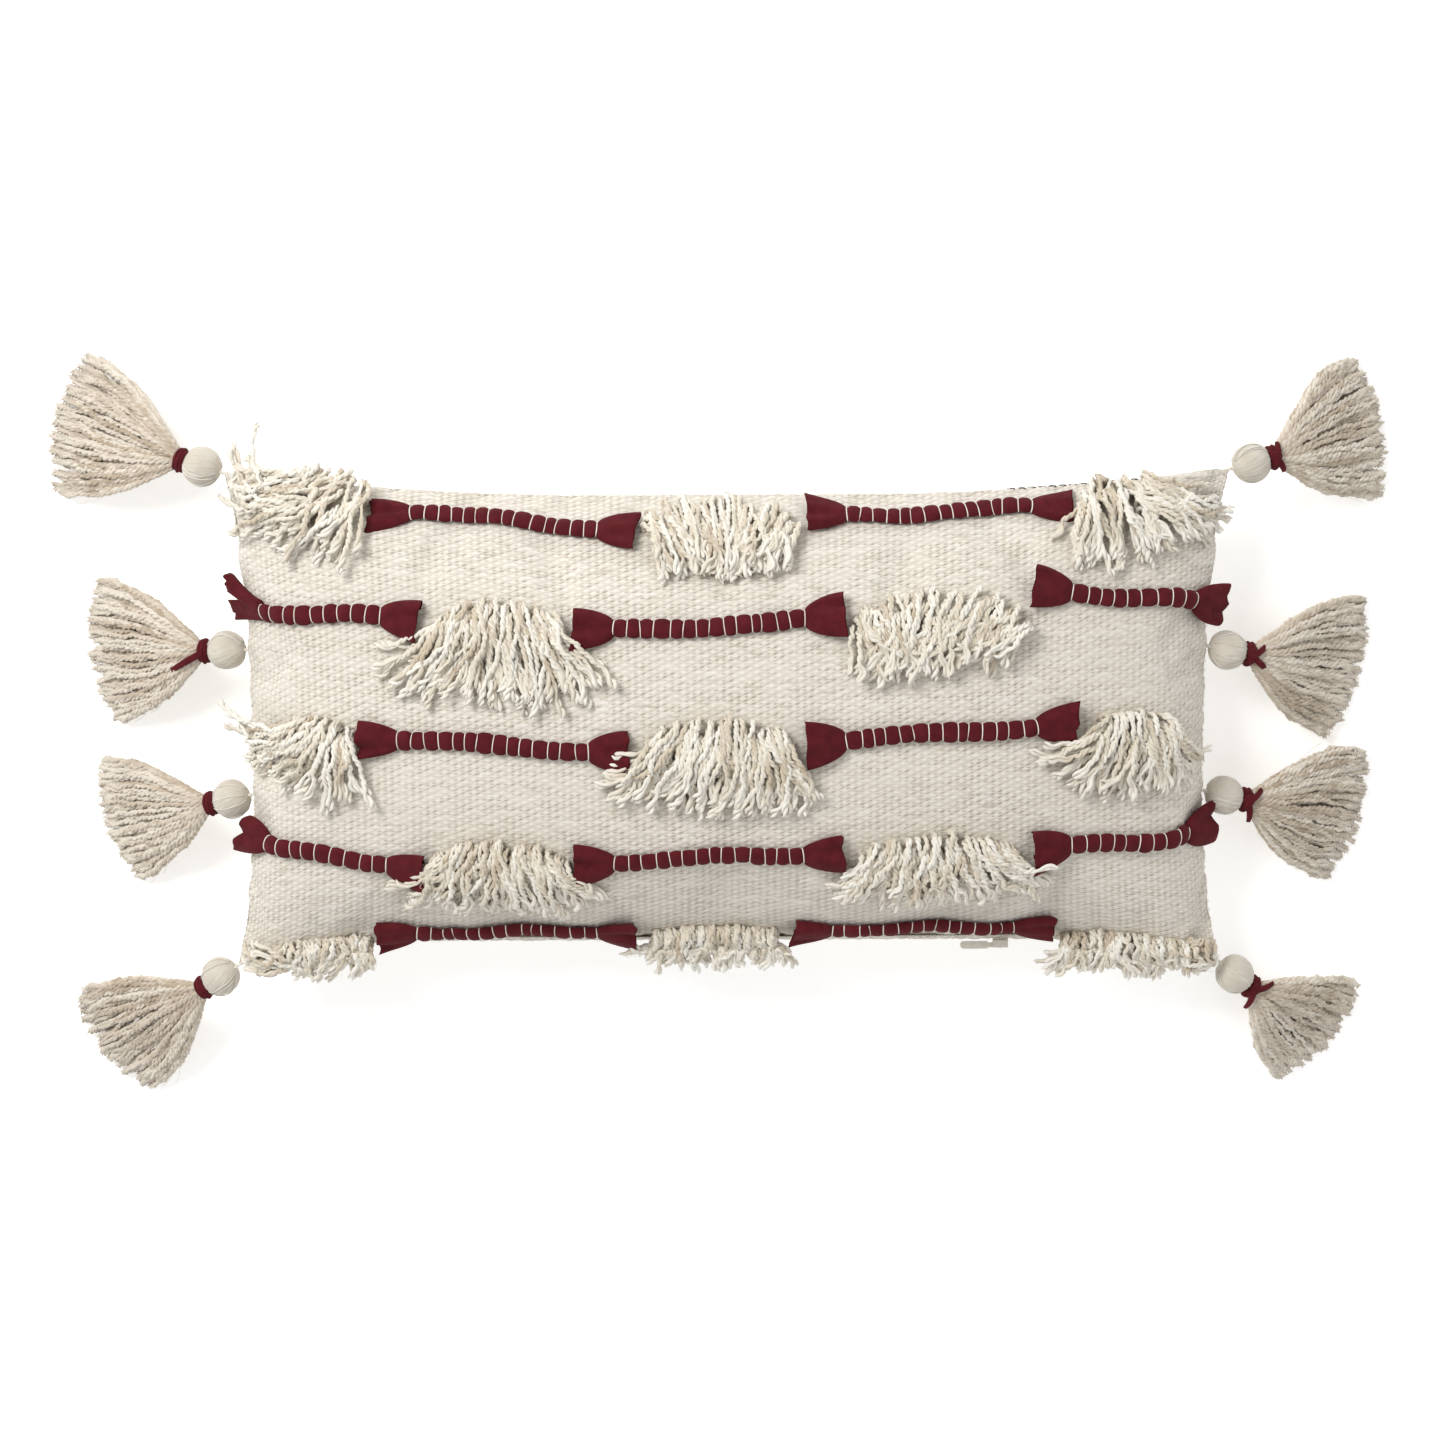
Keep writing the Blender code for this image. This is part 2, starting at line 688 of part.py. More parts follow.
def tassel_pivot(name):
    """The hanging loop's end, just outside the side seam."""
    side, place, degrees = TASSELS[name][:3]
    if abs(place) == 1:
        seam = surface(side * QUARTER, place * QUARTER)
    else:
        y = 2 * place * TASSEL_OFFSET
        seam = Vector((side * seam_x(y / HALF_HEIGHT), y, SEAM_HEIGHT))
    seam.z = SEAM_HEIGHT
    angle = radians(degrees)
    return seam + HANGER_OUT * Vector((cos(angle), sin(angle), 0)), angle


def bezier(points, t):
    """Place and direction on a cubic curve."""
    p0, p1, p2, p3 = points
    s = 1 - t
    place = p0 * s**3 + p1 * 3 * s * s * t + p2 * 3 * s * t * t + p3 * t**3
    slope = (p1 - p0) * s * s + (p2 - p1) * 2 * s * t + (p3 - p2) * t * t
    return place, slope.normalized()


def cross_section(place, forward, half_width, half_thickness, bulge=0.0):
    """A ring round the tassel's middle line, which stays in its own XZ plane."""
    up = Vector((-forward.z, 0, forward.x))
    side = Vector((0, 1, 0))
    ring = []
    for k in range(TASSEL_SIDES):
        turn = 2 * pi * k / TASSEL_SIDES
        extra = bulge * max(0.0, sin(turn)) ** 3
        sideways = (half_width + extra) * cos(turn)
        upwards = (half_thickness + extra) * sin(turn)
        ring.append(place + side * sideways + up * upwards)
    return ring


def make_yarn(name, reach, tip_width, pivot_height, parent, finish):
    """Head, neck and skirt: one bundle of yarn, drooping to the rest plane."""
    forward = Vector((cos(HEAD_DROOP), 0, -sin(HEAD_DROOP)))
    head = forward * (HEAD_RADIUS + HANGER_RADIUS + FIT_GAP)
    rings = []
    for degrees in (30, 60, 90, 120):
        turn = radians(degrees)
        radius = HEAD_RADIUS * sin(turn)
        rings.append(cross_section(head - forward * HEAD_RADIUS * cos(turn), forward, radius, radius))
    neck_start = sqrt(HEAD_RADIUS**2 - NECK_RADIUS**2)
    neck_end = neck_start + BAND_LENGTH + 2 * BAND_PLAY
    for along in (neck_start, neck_end):
        rings.append(cross_section(head + forward * along, forward, NECK_RADIUS, NECK_RADIUS))
    start = head + forward * neck_end
    tip = Vector((reach, 0, -pivot_height + TIP_THICKNESS / 2 + TIP_LIFT))
    handle = (tip - start).length / 3
    tip_slope = Vector((cos(TIP_SLOPE), 0, -sin(TIP_SLOPE)))
    curve = (start, start + forward * handle, tip - tip_slope * handle, tip)
    for t, width_share, thickness in (
        (0.22, 0.40, 0.80),
        (0.45, 0.66, 1.00),
        (0.70, 0.87, 0.85),
        (0.90, 0.98, 0.55),
    ):
        place, direction = bezier(curve, t)
        half_width = width_share * tip_width / 2
        rings.append(cross_section(place, direction, half_width, thickness * SKIRT_THICKNESS / 2))
    level = Vector((1, 0, 0))
    rings.append(cross_section(tip, level, tip_width / 2, TIP_THICKNESS / 2))
    bm = loft(rings, start_pole=head - forward * HEAD_RADIUS)
    make_object(name + "_yarn", bm, finish["cotton_yarn"], parent=parent)
    return head + forward * (neck_start + BAND_PLAY), forward


def make_band(name, start, forward, knotted, parent, finish):
    """The strip wound round the neck, thicker over its knot."""
    inner = NECK_RADIUS + FIT_GAP
    outer = inner + BAND_WALL
    bulge = KNOT_BULGE if knotted else 0.0
    bm = bmesh.new()
    loops = []
    for along, radius, extra in (
        (0.0, inner, 0.0),
        (0.0, outer - BAND_WALL / 3, bulge / 2),
        (BAND_LENGTH / 2, outer, bulge),
        (BAND_LENGTH, outer - BAND_WALL / 3, bulge / 2),
        (BAND_LENGTH, inner, 0.0),
    ):
        ring = cross_section(start + forward * along, forward, radius, radius, extra)
        loops.append([bm.verts.new(point) for point in ring])
    for near, far in zip(loops, loops[1:] + loops[:1]):
        bridge(bm, near, far)
    make_object(name + "_band", bm, finish["maroon_jersey"], parent=parent)


def make_hanger(name, pivot, angle, finish):
    """The stub of the hanging loop, caught at the seam; the head turns round its end."""
    outward = Vector((cos(angle), sin(angle), 0))
    side = Vector((-outward.y, outward.x, 0))
    up = Vector((0, 0, 1))
    back = HANGER_OUT - FIT_GAP
    rings = []
    stations = [(-back, 0.8), (0.0, 1.0), (0.5, 0.866), (0.866, 0.5)]
    for along, share in stations:
        centre = pivot + outward * (along if along < 0 else along * HANGER_RADIUS)
        radius = HANGER_RADIUS * share
        ring = [
            centre + side * radius * cos(2 * pi * k / 8) + up * radius * sin(2 * pi * k / 8) for k in range(8)
        ]
        rings.append(ring)
    bm = loft(rings, end_pole=pivot + outward * HANGER_RADIUS)
    make_object(name + "_hanger", bm, finish["cotton_yarn"], pivot)


def make_tassels(finish):
    for name, (side, _, _, reach, tip_width) in TASSELS.items():
        pivot, angle = tassel_pivot(name)
        make_hanger(name, pivot, angle, finish)
        hinge = make_empty(name + "_hinge", pivot, angle)
        start, forward = make_yarn(name, reach, tip_width, pivot.z, hinge, finish)
        make_band(name, start, forward, side == KNOTTED_SIDE, hinge, finish)


def main():
    clear_scene()
    finish = make_materials()
    make_panels(finish)
    make_insert(finish)
    make_fill(finish)
    make_tapes(finish)
    make_teeth(finish)
    make_slider(finish)
    for name in CORDS:
        make_cord(name, finish)
    make_tufts(finish)
    make_tassels(finish)


main()
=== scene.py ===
"""The looks of a long lumbar throw pillow: woven cover, couched cords, yarn tufts and tassels.

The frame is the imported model: X runs along the cushion, Y up its face, Z out of the
face, and the cushion lies on its back at Z 0. Metres and radians unless a name says
otherwise. Each piece draws its random numbers from its own seeded generator.
"""

import json
from math import cos, pi, radians, sin, sqrt

import bpy
import numpy as np
from mathutils import Matrix, Vector


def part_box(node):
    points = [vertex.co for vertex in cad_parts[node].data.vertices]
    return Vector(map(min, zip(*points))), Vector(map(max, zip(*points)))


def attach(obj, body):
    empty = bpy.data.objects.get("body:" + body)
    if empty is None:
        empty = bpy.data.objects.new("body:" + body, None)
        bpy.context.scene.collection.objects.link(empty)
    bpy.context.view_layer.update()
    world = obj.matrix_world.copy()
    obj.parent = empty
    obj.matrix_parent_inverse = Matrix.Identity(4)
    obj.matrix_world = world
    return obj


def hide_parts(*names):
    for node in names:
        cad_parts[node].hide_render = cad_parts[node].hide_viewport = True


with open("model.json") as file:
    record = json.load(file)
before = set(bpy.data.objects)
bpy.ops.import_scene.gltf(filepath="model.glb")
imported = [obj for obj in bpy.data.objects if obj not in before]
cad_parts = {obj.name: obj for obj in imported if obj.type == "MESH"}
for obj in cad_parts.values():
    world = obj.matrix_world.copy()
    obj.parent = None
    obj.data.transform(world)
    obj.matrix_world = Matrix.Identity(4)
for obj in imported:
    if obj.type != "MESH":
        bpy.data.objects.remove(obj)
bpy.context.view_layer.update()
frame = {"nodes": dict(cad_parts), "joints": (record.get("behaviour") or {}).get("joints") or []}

QUARTER = pi / 2
Y_AXIS = np.array((0.0, 1.0, 0.0))
Z_AXIS = np.array((0.0, 0.0, 1.0))

# ---- cushion, as in the frame ----
PANEL_LOW, PANEL_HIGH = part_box("front_panel")
HALF_LENGTH = PANEL_HIGH.x
HALF_HEIGHT = PANEL_HIGH.y
SEAM_HEIGHT = PANEL_LOW.z
CROWN_FRONT = PANEL_HIGH.z - SEAM_HEIGHT
CROWN_BACK = 0.062
SIDE_PULL = 0.0118
TOP_PULL = 0.0134
BOTTOM_PULL = 0.0145
TOP_STRAIGHT = 0.30
BOTTOM_STRAIGHT = 0.62
CORNER_CURVE = 1.7
SIDE_CURVE = 3.0
REST_BLEND = 0.005
PANEL_WALL = 0.0022
INSERT_EDGE_ROOM = 0.0062
ROW_ANGLES = {2: 1.14, 1: 0.52, 0: 0.0, -1: -0.53, -2: -1.18}
EDGE_HOLD = sin(QUARTER * 0.86)  # share where pieces leave the face
EDGE_DROP = 0.25  # slope of a piece just past there
EDGE_SAG = 9.0  # how fast it bends down further out
EDGE_LEVEL = 0.7  # how far its up direction turns level there

# ---- woven cloth ----
FLOAT_COLUMNS = 4  # columns of the grid for each weft float and the dip beside it
COURSE_ROWS = 2
FACE_FLOATS = 72  # in each course
FACE_COURSES = 166
BACK_FLOATS = 60
BACK_COURSES = 80
WEAVE_RELIEF = 0.00085
WEAVE_SLANT = 0.30  # of a row, up or down at a float's ends
SEAM_FOLD = 0.0010  # how far the seam draws in
PUCKER = 0.0011
PUCKER_DEPTH = 0.30  # angle over which the puckers fade out

# ---- simulated softness ----
SIM_CELLS = (96, 48)
SIM_FRAMES = 20
SIM_PRESSURE = 4.0
SIM_SLACK = -0.025
SIM_REFINE = 4
SIM_CAP = 0.0060  # no point moves further
SIM_CLOTH = {
    "quality": 6,
    "mass": 0.25,
    "tension_stiffness": 20,
    "compression_stiffness": 20,
    "shear_stiffness": 8,
    "bending_stiffness": 0.4,
    "shrink_min": SIM_SLACK,
    "use_pressure": True,
    "uniform_pressure_force": SIM_PRESSURE,
    "vertex_group_mass": "seam",
}

# ---- cords ----
CORD_RISES = {
    "cord_top_left": -0.011,
    "cord_top_right": 0.005,
    "cord_upper_left": 0.001,
    "cord_upper_centre": 0.008,
    "cord_upper_right": -0.013,
    "cord_middle_left": -0.006,
    "cord_middle_right": 0.007,
    "cord_lower_left": -0.011,
    "cord_lower_centre": 0.007,
    "cord_lower_right": 0.000,
    "cord_bottom_left": 0.004,
    "cord_bottom_right": 0.000,
}
CORD_HALF_WIDTH = 0.0056
CORD_THICKNESS = 0.0060
CORD_SIDES = 28
CORD_STEP = 0.0008
BEAD_PITCH = 0.0078
BEAD_WAIST = 0.20  # share of the width lost under a tie
MOUTH_LENGTH = 0.0240
MOUTH_HALF_WIDTH = 0.0122
MOUTH_THICKNESS = 0.0130
MOUTH_CURL = 0.0026  # how far a cut corner points out
MOUTH_WALL = 0.0009
SPLIT_CORD = "cord_upper_left"
SPLIT_LOBES = ((-0.0125, 0.0052, 0.0250), (0.0030, 0.0066, 0.0285))  # aside, half width, length
TIE_RADIUS = 0.00036

# ---- tufts: row, reach above and below it, lean and fan in degrees, first and last root ----
TUFTS = {
    "tuft_top_left": (2, 0.034, 0.044, -64, 48, 0.24, 1.0),
    "tuft_top_centre": (2, 0.020, 0.032, 4, -32, 0.0, 1.0),
    "tuft_top_right": (2, 0.022, 0.040, 30, 46, 0.02, 0.72),
    "tuft_upper_left": (1, 0.020, 0.052, -4, 44, 0.06, 0.94),
    "tuft_upper_right": (1, 0.026, 0.036, -18, -42, 0.0, 1.0),
    "tuft_middle_left": (0, 0.022, 0.046, -38, 46, 0.36, 1.0),
    "tuft_middle_centre": (0, 0.024, 0.044, -8, 26, 0.06, 0.98),
    "tuft_middle_right": (0, 0.024, 0.042, -2, 44, 0.08, 0.72),
    "tuft_lower_left": (-1, 0.018, 0.044, -6, 40, 0.04, 0.98),
    "tuft_lower_right": (-1, 0.022, 0.034, 2, 42, 0.04, 0.96),
    "tuft_bottom_left": (-2, 0.009, 0.028, -34, 34, 0.20, 1.0),
    "tuft_bottom_centre": (-2, 0.009, 0.027, -6, 32, 0.05, 0.95),
    "tuft_bottom_right": (-2, 0.009, 0.029, 10, 30, 0.02, 0.88),
}
YARN_SPACING = 0.00076  # of width for each strand
YARN_POINTS = 34
YARN_PLIES = 2
PLY_RADIUS = 0.00104
PLY_OFFSET = 0.00074
PLY_PITCH = 0.0085
FIBRE_RADIUS = 0.00013
FIBRES = 2  # loose ones at each strand's end
PLY_SIDES = 5
LOCK_SIZE = 4  # strands that wave together
TUFT_PILE = 0.0075  # height of a tuft's upper strands over its lowest
TUFT_TOP = 0.0160  # no strand rises further over the face
MOST_STRAY = 0.35  # radians that a strand may turn from its tuft's own fan
HEAD_CLEARANCE = 0.0175  # between strands and the middle of a tassel's head

# ---- tassels: reach past the pivot, tip width ----
TASSELS = {
    "tassel_left_1": (0.106, 0.088),
    "tassel_left_2": (0.098, 0.088),
    "tassel_left_3": (0.096, 0.076),
    "tassel_left_4": (0.109, 0.078),
    "tassel_right_1": (0.096, 0.088),
    "tassel_right_2": (0.099, 0.088),
    "tassel_right_3": (0.102, 0.086),
    "tassel_right_4": (0.095, 0.076),
}
HANGER_RADIUS = 0.0012
HEAD_RADIUS = 0.0110
HEAD_DROOP = radians(14)
HEAD_RIBS = 28
HEAD_SWELL = 1.03  # size of the ribbed ball, of HEAD_RADIUS
HEAD_THREADS = 9
THREAD_RADIUS = 0.00030
THREAD_LIFT = 1.055  # distance of the threads from the head's middle, of HEAD_RADIUS
NECK_RADIUS = 0.0048
BAND_LENGTH = 0.0064
BAND_WALL = 0.0018
BAND_SWELL = 1.55  # thickness of the strip's windings, of BAND_WALL
KNOT_HALF_SIZE = (0.0036, 0.0045, 0.0027)  # ahead, across, over
SKIRT_STRANDS = 165
SKIRT_POINTS = 44
SKIRT_PLACES = (0, 0.2, 0.45, 0.7, 0.9, 1.06)  # shares of the way from band to tip
SKIRT_DEPTHS = (0.0040, 0.0058, 0.0060, 0.0052, 0.0034, 0.0024)  # half its thickness at each
TIP_THICKNESS = 0.0050
TIP_SLOPE = radians(10)
FLOOR_ROOM = 0.0004

# ---- camera ----
CAMERA_DISTANCE = 2.2
CAMERA_TILT = 0.189  # towards +Y, from straight above
CAMERA_ROLL = -0.004
CAMERA_LENS = 92.8
CAMERA_AIM = (-0.0030, -0.0013)  # of the picture's middle, across and up, from the cushion's

# ---- lights: place, size, watts, colour ----
LIGHTS = {
    "key_light": ((-1.15, 1.35, 1.8), 1.1, 39.0, (1.0, 0.985, 0.965)),
    "fill_light": ((1.5, -0.6, 1.8), 1.8, 4.0, (0.97, 0.985, 1.0)),
}
WORLD_LIGHT = 0.64
FLOOR_GLOW = 0.34
FLOOR_HALF_SIZE = 12.0
FLOOR_DEPTH = 0.0002  # of the floor under the rest plane

# ---- stitches along the seam's round: first and last place, spacing, radius, lean ----
SEAM_STITCHES = (0.0, 1.0, 0.0052, 0.00022, 0.0010)
DARK_STITCHES_TOP = (0.946, 0.978, 0.0060, 0.00045, 0.0042)
DARK_STITCHES_SIDE = (0.045, 0.062, 0.0060, 0.00045, 0.0042)
STITCH_SAMPLES = 400  # points of the seam line that a row of stitches is measured on
STITCH_RISE = 0.0012  # of each end over or under the seam
STITCH_BULGE = 0.0005

# ---- yarn tones: dark, middle, light; the dark one is also painted as shade at each strand's root ----
YARN_TONES = {
    "tuft_yarn": ((0.56, 0.47, 0.35), (0.76, 0.70, 0.59), (0.87, 0.84, 0.77)),
    "tassel_yarn": ((0.43, 0.345, 0.25), (0.62, 0.54, 0.44), (0.76, 0.70, 0.61)),
    "head_cotton": ((0.58, 0.53, 0.45), (0.71, 0.67, 0.60), (0.80, 0.77, 0.71)),
    "tie_cotton": ((0.70, 0.64, 0.54), (0.82, 0.78, 0.70), (0.90, 0.87, 0.80)),
}


# ------------------------------------------------------------------ meshes


def hand_over(piece, body, slot, *nodes):
    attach(piece, body)
    for node in nodes:
        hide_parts(node)


def unit(vectors):
    length = np.linalg.norm(vectors, axis=-1, keepdims=True)
    return vectors / np.maximum(length, 1e-12)


def grid_faces(index):
    """Quads between neighbours of a grid of vertex numbers."""
    return np.stack([index[:-1, :-1], index[1:, :-1], index[1:, 1:], index[:-1, 1:]], -1).reshape(-1, 4)


def grid_corners(columns, rows):
    """Map places of grid_faces' corners, over the whole map."""
    place = np.stack(
        np.meshgrid(np.linspace(0, 1, columns), np.linspace(0, 1, rows), indexing="ij"), -1
    )
    return place.reshape(-1, 2)[grid_faces(np.arange(columns * rows).reshape(columns, rows))]


def make_object(name, points, blocks, material, corners=None, values=None):
    """A smooth mesh from points and blocks of equal-sided faces, with point values by name."""
    mesh = bpy.data.meshes.new(name)
    points = np.ascontiguousarray(points, np.float32)
    loops = np.concatenate([np.asarray(block).ravel() for block in blocks]).astype(np.int32)
    sizes = np.concatenate([np.full(len(block), block.shape[1]) for block in blocks])
    starts = np.concatenate([[0], np.cumsum(sizes)[:-1]]).astype(np.int32)
    mesh.vertices.add(len(points))
    mesh.vertices.foreach_set("co", points.ravel())
    mesh.loops.add(len(loops))
    mesh.loops.foreach_set("vertex_index", loops)
    mesh.polygons.add(len(starts))
    mesh.polygons.foreach_set("loop_start", starts)
    mesh.update(calc_edges=True)
    mesh.validate()
    mesh.shade_smooth()
    mesh.materials.append(material)
    if corners is not None:
        layer = mesh.uv_layers.new(name="OFBake")
        layer.data.foreach_set("uv", np.ascontiguousarray(corners, np.float32).ravel())
    for key, data in (values or {}).items():
        data = np.asarray(data, np.float32)
        kind, field = ("FLOAT", "value") if data.ndim == 1 else ("FLOAT_VECTOR", "vector")
        attribute = mesh.attributes.new(key, kind, "POINT")
        attribute.data.foreach_set(field, data.ravel())
    obj = bpy.data.objects.new(name, mesh)
    bpy.context.scene.collection.objects.link(obj)
    return obj


class Tubes:
    """Round or flattened tubes, gathered into one mesh."""

    def __init__(self):
        self.points, self.quads, self.caps, self.corners, self.values = [], [], [], [], []
        self.count = 0

    def add(self, paths, radii, sides, flat=1.0, up=(0.0, 0.0, 1.0), tone=None):
        """paths is (strands, stations, 3), radii broadcasts to (strands, stations)."""
        strands, stations, _ = paths.shape
        radii = np.broadcast_to(radii, (strands, stations))
        tangent = unit(np.gradient(paths, axis=1))
        across = np.empty_like(paths)
        across[:, 0] = unit(np.cross(tangent[:, 0], np.broadcast_to(up, (strands, 3))) + 1e-9)
        for k in range(1, stations):
            kept = across[:, k - 1]
            kept = kept - tangent[:, k] * np.sum(kept * tangent[:, k], -1, keepdims=True)
            across[:, k] = unit(kept)
        over = np.cross(tangent, across)
        turn = np.arange(sides) * 2 * pi / sides
        ring = (
            paths[:, :, None]
            + radii[:, :, None, None] * np.cos(turn)[:, None] * across[:, :, None]
            + radii[:, :, None, None] * flat * np.sin(turn)[:, None] * over[:, :, None]
        )
        index = self.count + np.arange(strands * stations * sides).reshape(strands, stations, sides)
        after = np.roll(index, -1, axis=2)
        quads = np.stack([index[:, :-1], after[:, :-1], after[:, 1:], index[:, 1:]], -1)
        self.points.append(ring.reshape(-1, 3))
        self.quads.append(quads.reshape(-1, 4))
        self.caps.append((sides, np.concatenate([index[:, 0, ::-1], index[:, -1]])))
        along = np.broadcast_to(np.linspace(0, 1, stations)[None, :, None], index.shape)
        around = np.broadcast_to(turn[None, None, :] / (2 * pi), index.shape)
        tone = np.zeros(strands) if tone is None else tone
        tones = np.broadcast_to(np.asarray(tone)[:, None, None], index.shape)
        self.values.append(np.stack([along, around, tones], -1).reshape(-1, 3))
        self.corners.append((strands, stations, sides))
        self.count += index.size

    def map_places(self):
        """Each tube gets its own upright strip of the map, in rows of strips."""
        total = sum(strands for strands, _, _ in self.corners)
        stations, sides = self.corners[0][1], max(sides for _, _, sides in self.corners)
        rows = max(1, round(sqrt(total * sides / stations)))
        columns = -(-total // rows)
        made, first = [], 0
        for strands, stations, sides in self.corners:
            number = first + np.arange(strands)
            first += strands
            left = (number % columns)[:, None, None]
            low = (number // columns)[:, None, None]
            side = np.arange(sides)[None, None, :]
            step = np.arange(stations - 1)[None, :, None]
            u0 = (left + 0.04 + 0.92 * side / sides) / columns + 0 * step
            u1 = (left + 0.04 + 0.92 * (side + 1) / sides) / columns + 0 * step
            v0 = (low + 0.02 + 0.92 * step / (stations - 1)) / rows + 0 * side
            v1 = (low + 0.02 + 0.92 * (step + 1) / (stations - 1)) / rows + 0 * side
            corners = [np.stack(pair, -1) for pair in ((u0, v0), (u1, v0), (u1, v1), (u0, v1))]
            made.append(np.stack(corners, -2).reshape(-1, 2))
        for strands, (sides, _), start in zip(
            [c[0] for c in self.corners], self.caps, np.cumsum([0] + [c[0] for c in self.corners])
        ):
            number = np.tile(start + np.arange(strands), 2)
            lift = np.repeat([0.955, 0.975], strands)
            across, along = number % columns + 0.5, number // columns + lift
            centre = np.stack([across / columns, along / rows], -1)
            turn = np.arange(sides) * 2 * pi / sides
            spread = np.stack([0.3 * np.cos(turn) / columns, 0.009 * np.sin(turn) / rows], -1)
            made.append((centre[:, None] + spread[None]).reshape(-1, 2))
        return np.concatenate(made)

    def build(self, name, material):
        blocks = [np.concatenate(self.quads)] + [cap for _, cap in self.caps]
        return make_object(
            name,
            np.concatenate(self.points),
            blocks,
            material,
            self.map_places(),
            {"strand": np.concatenate(self.values)},
        )


def shell(name, surfaces, material, values=None):
    """One object from several grids of points, each (columns, rows, 3)."""
    points, blocks, corners, first = [], [], [], 0
    for k, grid in enumerate(surfaces):
        columns, rows = grid.shape[:2]
        points.append(grid.reshape(-1, 3))
        blocks.append(grid_faces(first + np.arange(columns * rows).reshape(columns, rows)))
        place = grid_corners(columns, rows)
        corners.append(np.stack([(k + 0.01 + 0.98 * place[..., 0]) / len(surfaces), place[..., 1]], -1))
        first += columns * rows
    return make_object(
        name,
        np.concatenate(points),
        [np.concatenate(blocks)],
        material,
        np.concatenate(corners).reshape(-1, 2),
        values,
    )


def waves(rng, size, places, lengths, height):
    """Smooth random curves: one row for each of size, read at places, from a few wavelengths."""
    total = np.zeros((size, len(places)))
    for length in lengths:
        phase = rng.uniform(0, 2 * pi, (size, 1))
        stretch = rng.uniform(0.8, 1.25, (size, 1))
        share = rng.uniform(0.5, 1.0, (size, 1))
        total += share * np.sin(2 * pi * places[None, :] / (length * stretch) + phase)
    return height * total / len(lengths)


# ------------------------------------------------------------- the cushion


def corner_share(share, straight):
    """How far a place is past a seam's straight stretch, from 0 to 1 at the corner."""
    past = np.clip((np.abs(share) - straight) / (1 - straight), 0, 1)
    return past**CORNER_CURVE


def outline(u, v):
    """Distance of the side seam, and of the top or bottom seam, at shares u and v."""
    side = HALF_LENGTH - SIDE_PULL * (1 - np.abs(v) ** SIDE_CURVE)
    top = HALF_HEIGHT - TOP_PULL * (1 - corner_share(u, TOP_STRAIGHT))
    bottom = HALF_HEIGHT - BOTTOM_PULL * (1 - corner_share(u, BOTTOM_STRAIGHT))
    return side, np.where(v > 0, top, bottom)


def on_floor(z, floor):
    """Keeps heights above the rest plane, rounding in over REST_BLEND."""
    over = np.clip(z - floor, -REST_BLEND, REST_BLEND)
    rounded = floor + (over + REST_BLEND) ** 2 / (4 * REST_BLEND)
    return np.where(z - floor >= REST_BLEND, z, rounded)


def crowned(a, b, front=True, edge_inset=0.0, crown_inset=0.0):
    """The cushion's plain surface at crown angles a along X and b along Y."""
    u, v = np.sin(a), np.sin(b)
    side, end = outline(u, v)
    bulge = np.cos(a) * np.cos(b)
    if front:
        z = SEAM_HEIGHT + (CROWN_FRONT - crown_inset) * bulge
    else:
        z = on_floor(SEAM_HEIGHT - (CROWN_BACK - crown_inset) * bulge, crown_inset)
    return np.stack([u * (side - edge_inset), v * (end - edge_inset), z], -1)


def angle_grid(columns, rows):
    """Crown angles over the whole cushion, in even steps."""
    a, b = (np.linspace(-QUARTER, QUARTER, cells + 1) for cells in (columns, rows))
    return np.meshgrid(a, b, indexing="ij")


def cubic_weights(cells, factor):
    """Smooth weights that refine a row of cells + 1 values."""
    place = np.linspace(0, cells, cells * factor + 1)
    base = np.minimum(place.astype(int), cells - 1)
    t = place - base
    weights = np.zeros((len(place), cells + 1))
    shares = (
        -0.5 * t**3 + t**2 - 0.5 * t,
        1.5 * t**3 - 2.5 * t**2 + 1,
        -1.5 * t**3 + 2 * t**2 + 0.5 * t,
        0.5 * t**3 - 0.5 * t**2,
    )
    for offset, share in zip((-1, 0, 1, 2), shares):
        np.add.at(weights, (np.arange(len(place)), np.clip(base + offset, 0, cells)), share)
    return weights


def simulate():
    """How far a gentle inner pressure moves the face and the back, on a fine grid of angles."""
    columns, rows = SIM_CELLS
    a, b = angle_grid(columns, rows)
    rest = np.concatenate([crowned(a, b, front).reshape(-1, 3) for front in (True, False)])
    face = np.arange(a.size).reshape(a.shape)
    back = face + a.size
    rim = np.zeros(a.shape, bool)
    rim[[0, -1]] = True
    rim[:, [0, -1]] = True
    back[rim] = face[rim]
    quads = np.concatenate([grid_faces(face), grid_faces(back)[:, ::-1]])
    refine = cubic_weights(columns, SIM_REFINE), cubic_weights(rows, SIM_REFINE)
    moves = np.zeros((2, *a.shape, 3))
    cloth = make_object("sim_cloth", rest, [quads], None)
    held = np.flatnonzero(np.concatenate([rim.ravel(), rim.ravel()]))
    group = cloth.vertex_groups.new(name="seam")
    group.add([int(k) for k in held], 1.0, "REPLACE")
    modifier = cloth.modifiers.new("Cloth", "CLOTH")
    for key, value in SIM_CLOTH.items():
        setattr(modifier.settings, key, value)
    modifier.settings.effector_weights.gravity = 0
    modifier.point_cache.frame_start = 1
    modifier.point_cache.frame_end = SIM_FRAMES
    for step in range(1, SIM_FRAMES + 1):
        bpy.context.scene.frame_set(step)
    settled = cloth.evaluated_get(bpy.context.evaluated_depsgraph_get()).data
    moved = np.zeros(len(rest) * 3, np.float32)
    settled.vertices.foreach_get("co", moved)
    moves = (moved.reshape(-1, 3) - rest).reshape(2, *a.shape, 3)
    moves[:, rim] = 0
    far = np.linalg.norm(moves, axis=-1, keepdims=True)
    moves *= SIM_CAP * np.tanh(far / SIM_CAP) / np.maximum(far, 1e-9)
    bpy.data.objects.remove(cloth, do_unlink=True)
    bpy.context.scene.frame_set(1)
    return [np.einsum("ia,abc,jb->ijc", refine[0], move, refine[1]) for move in moves]


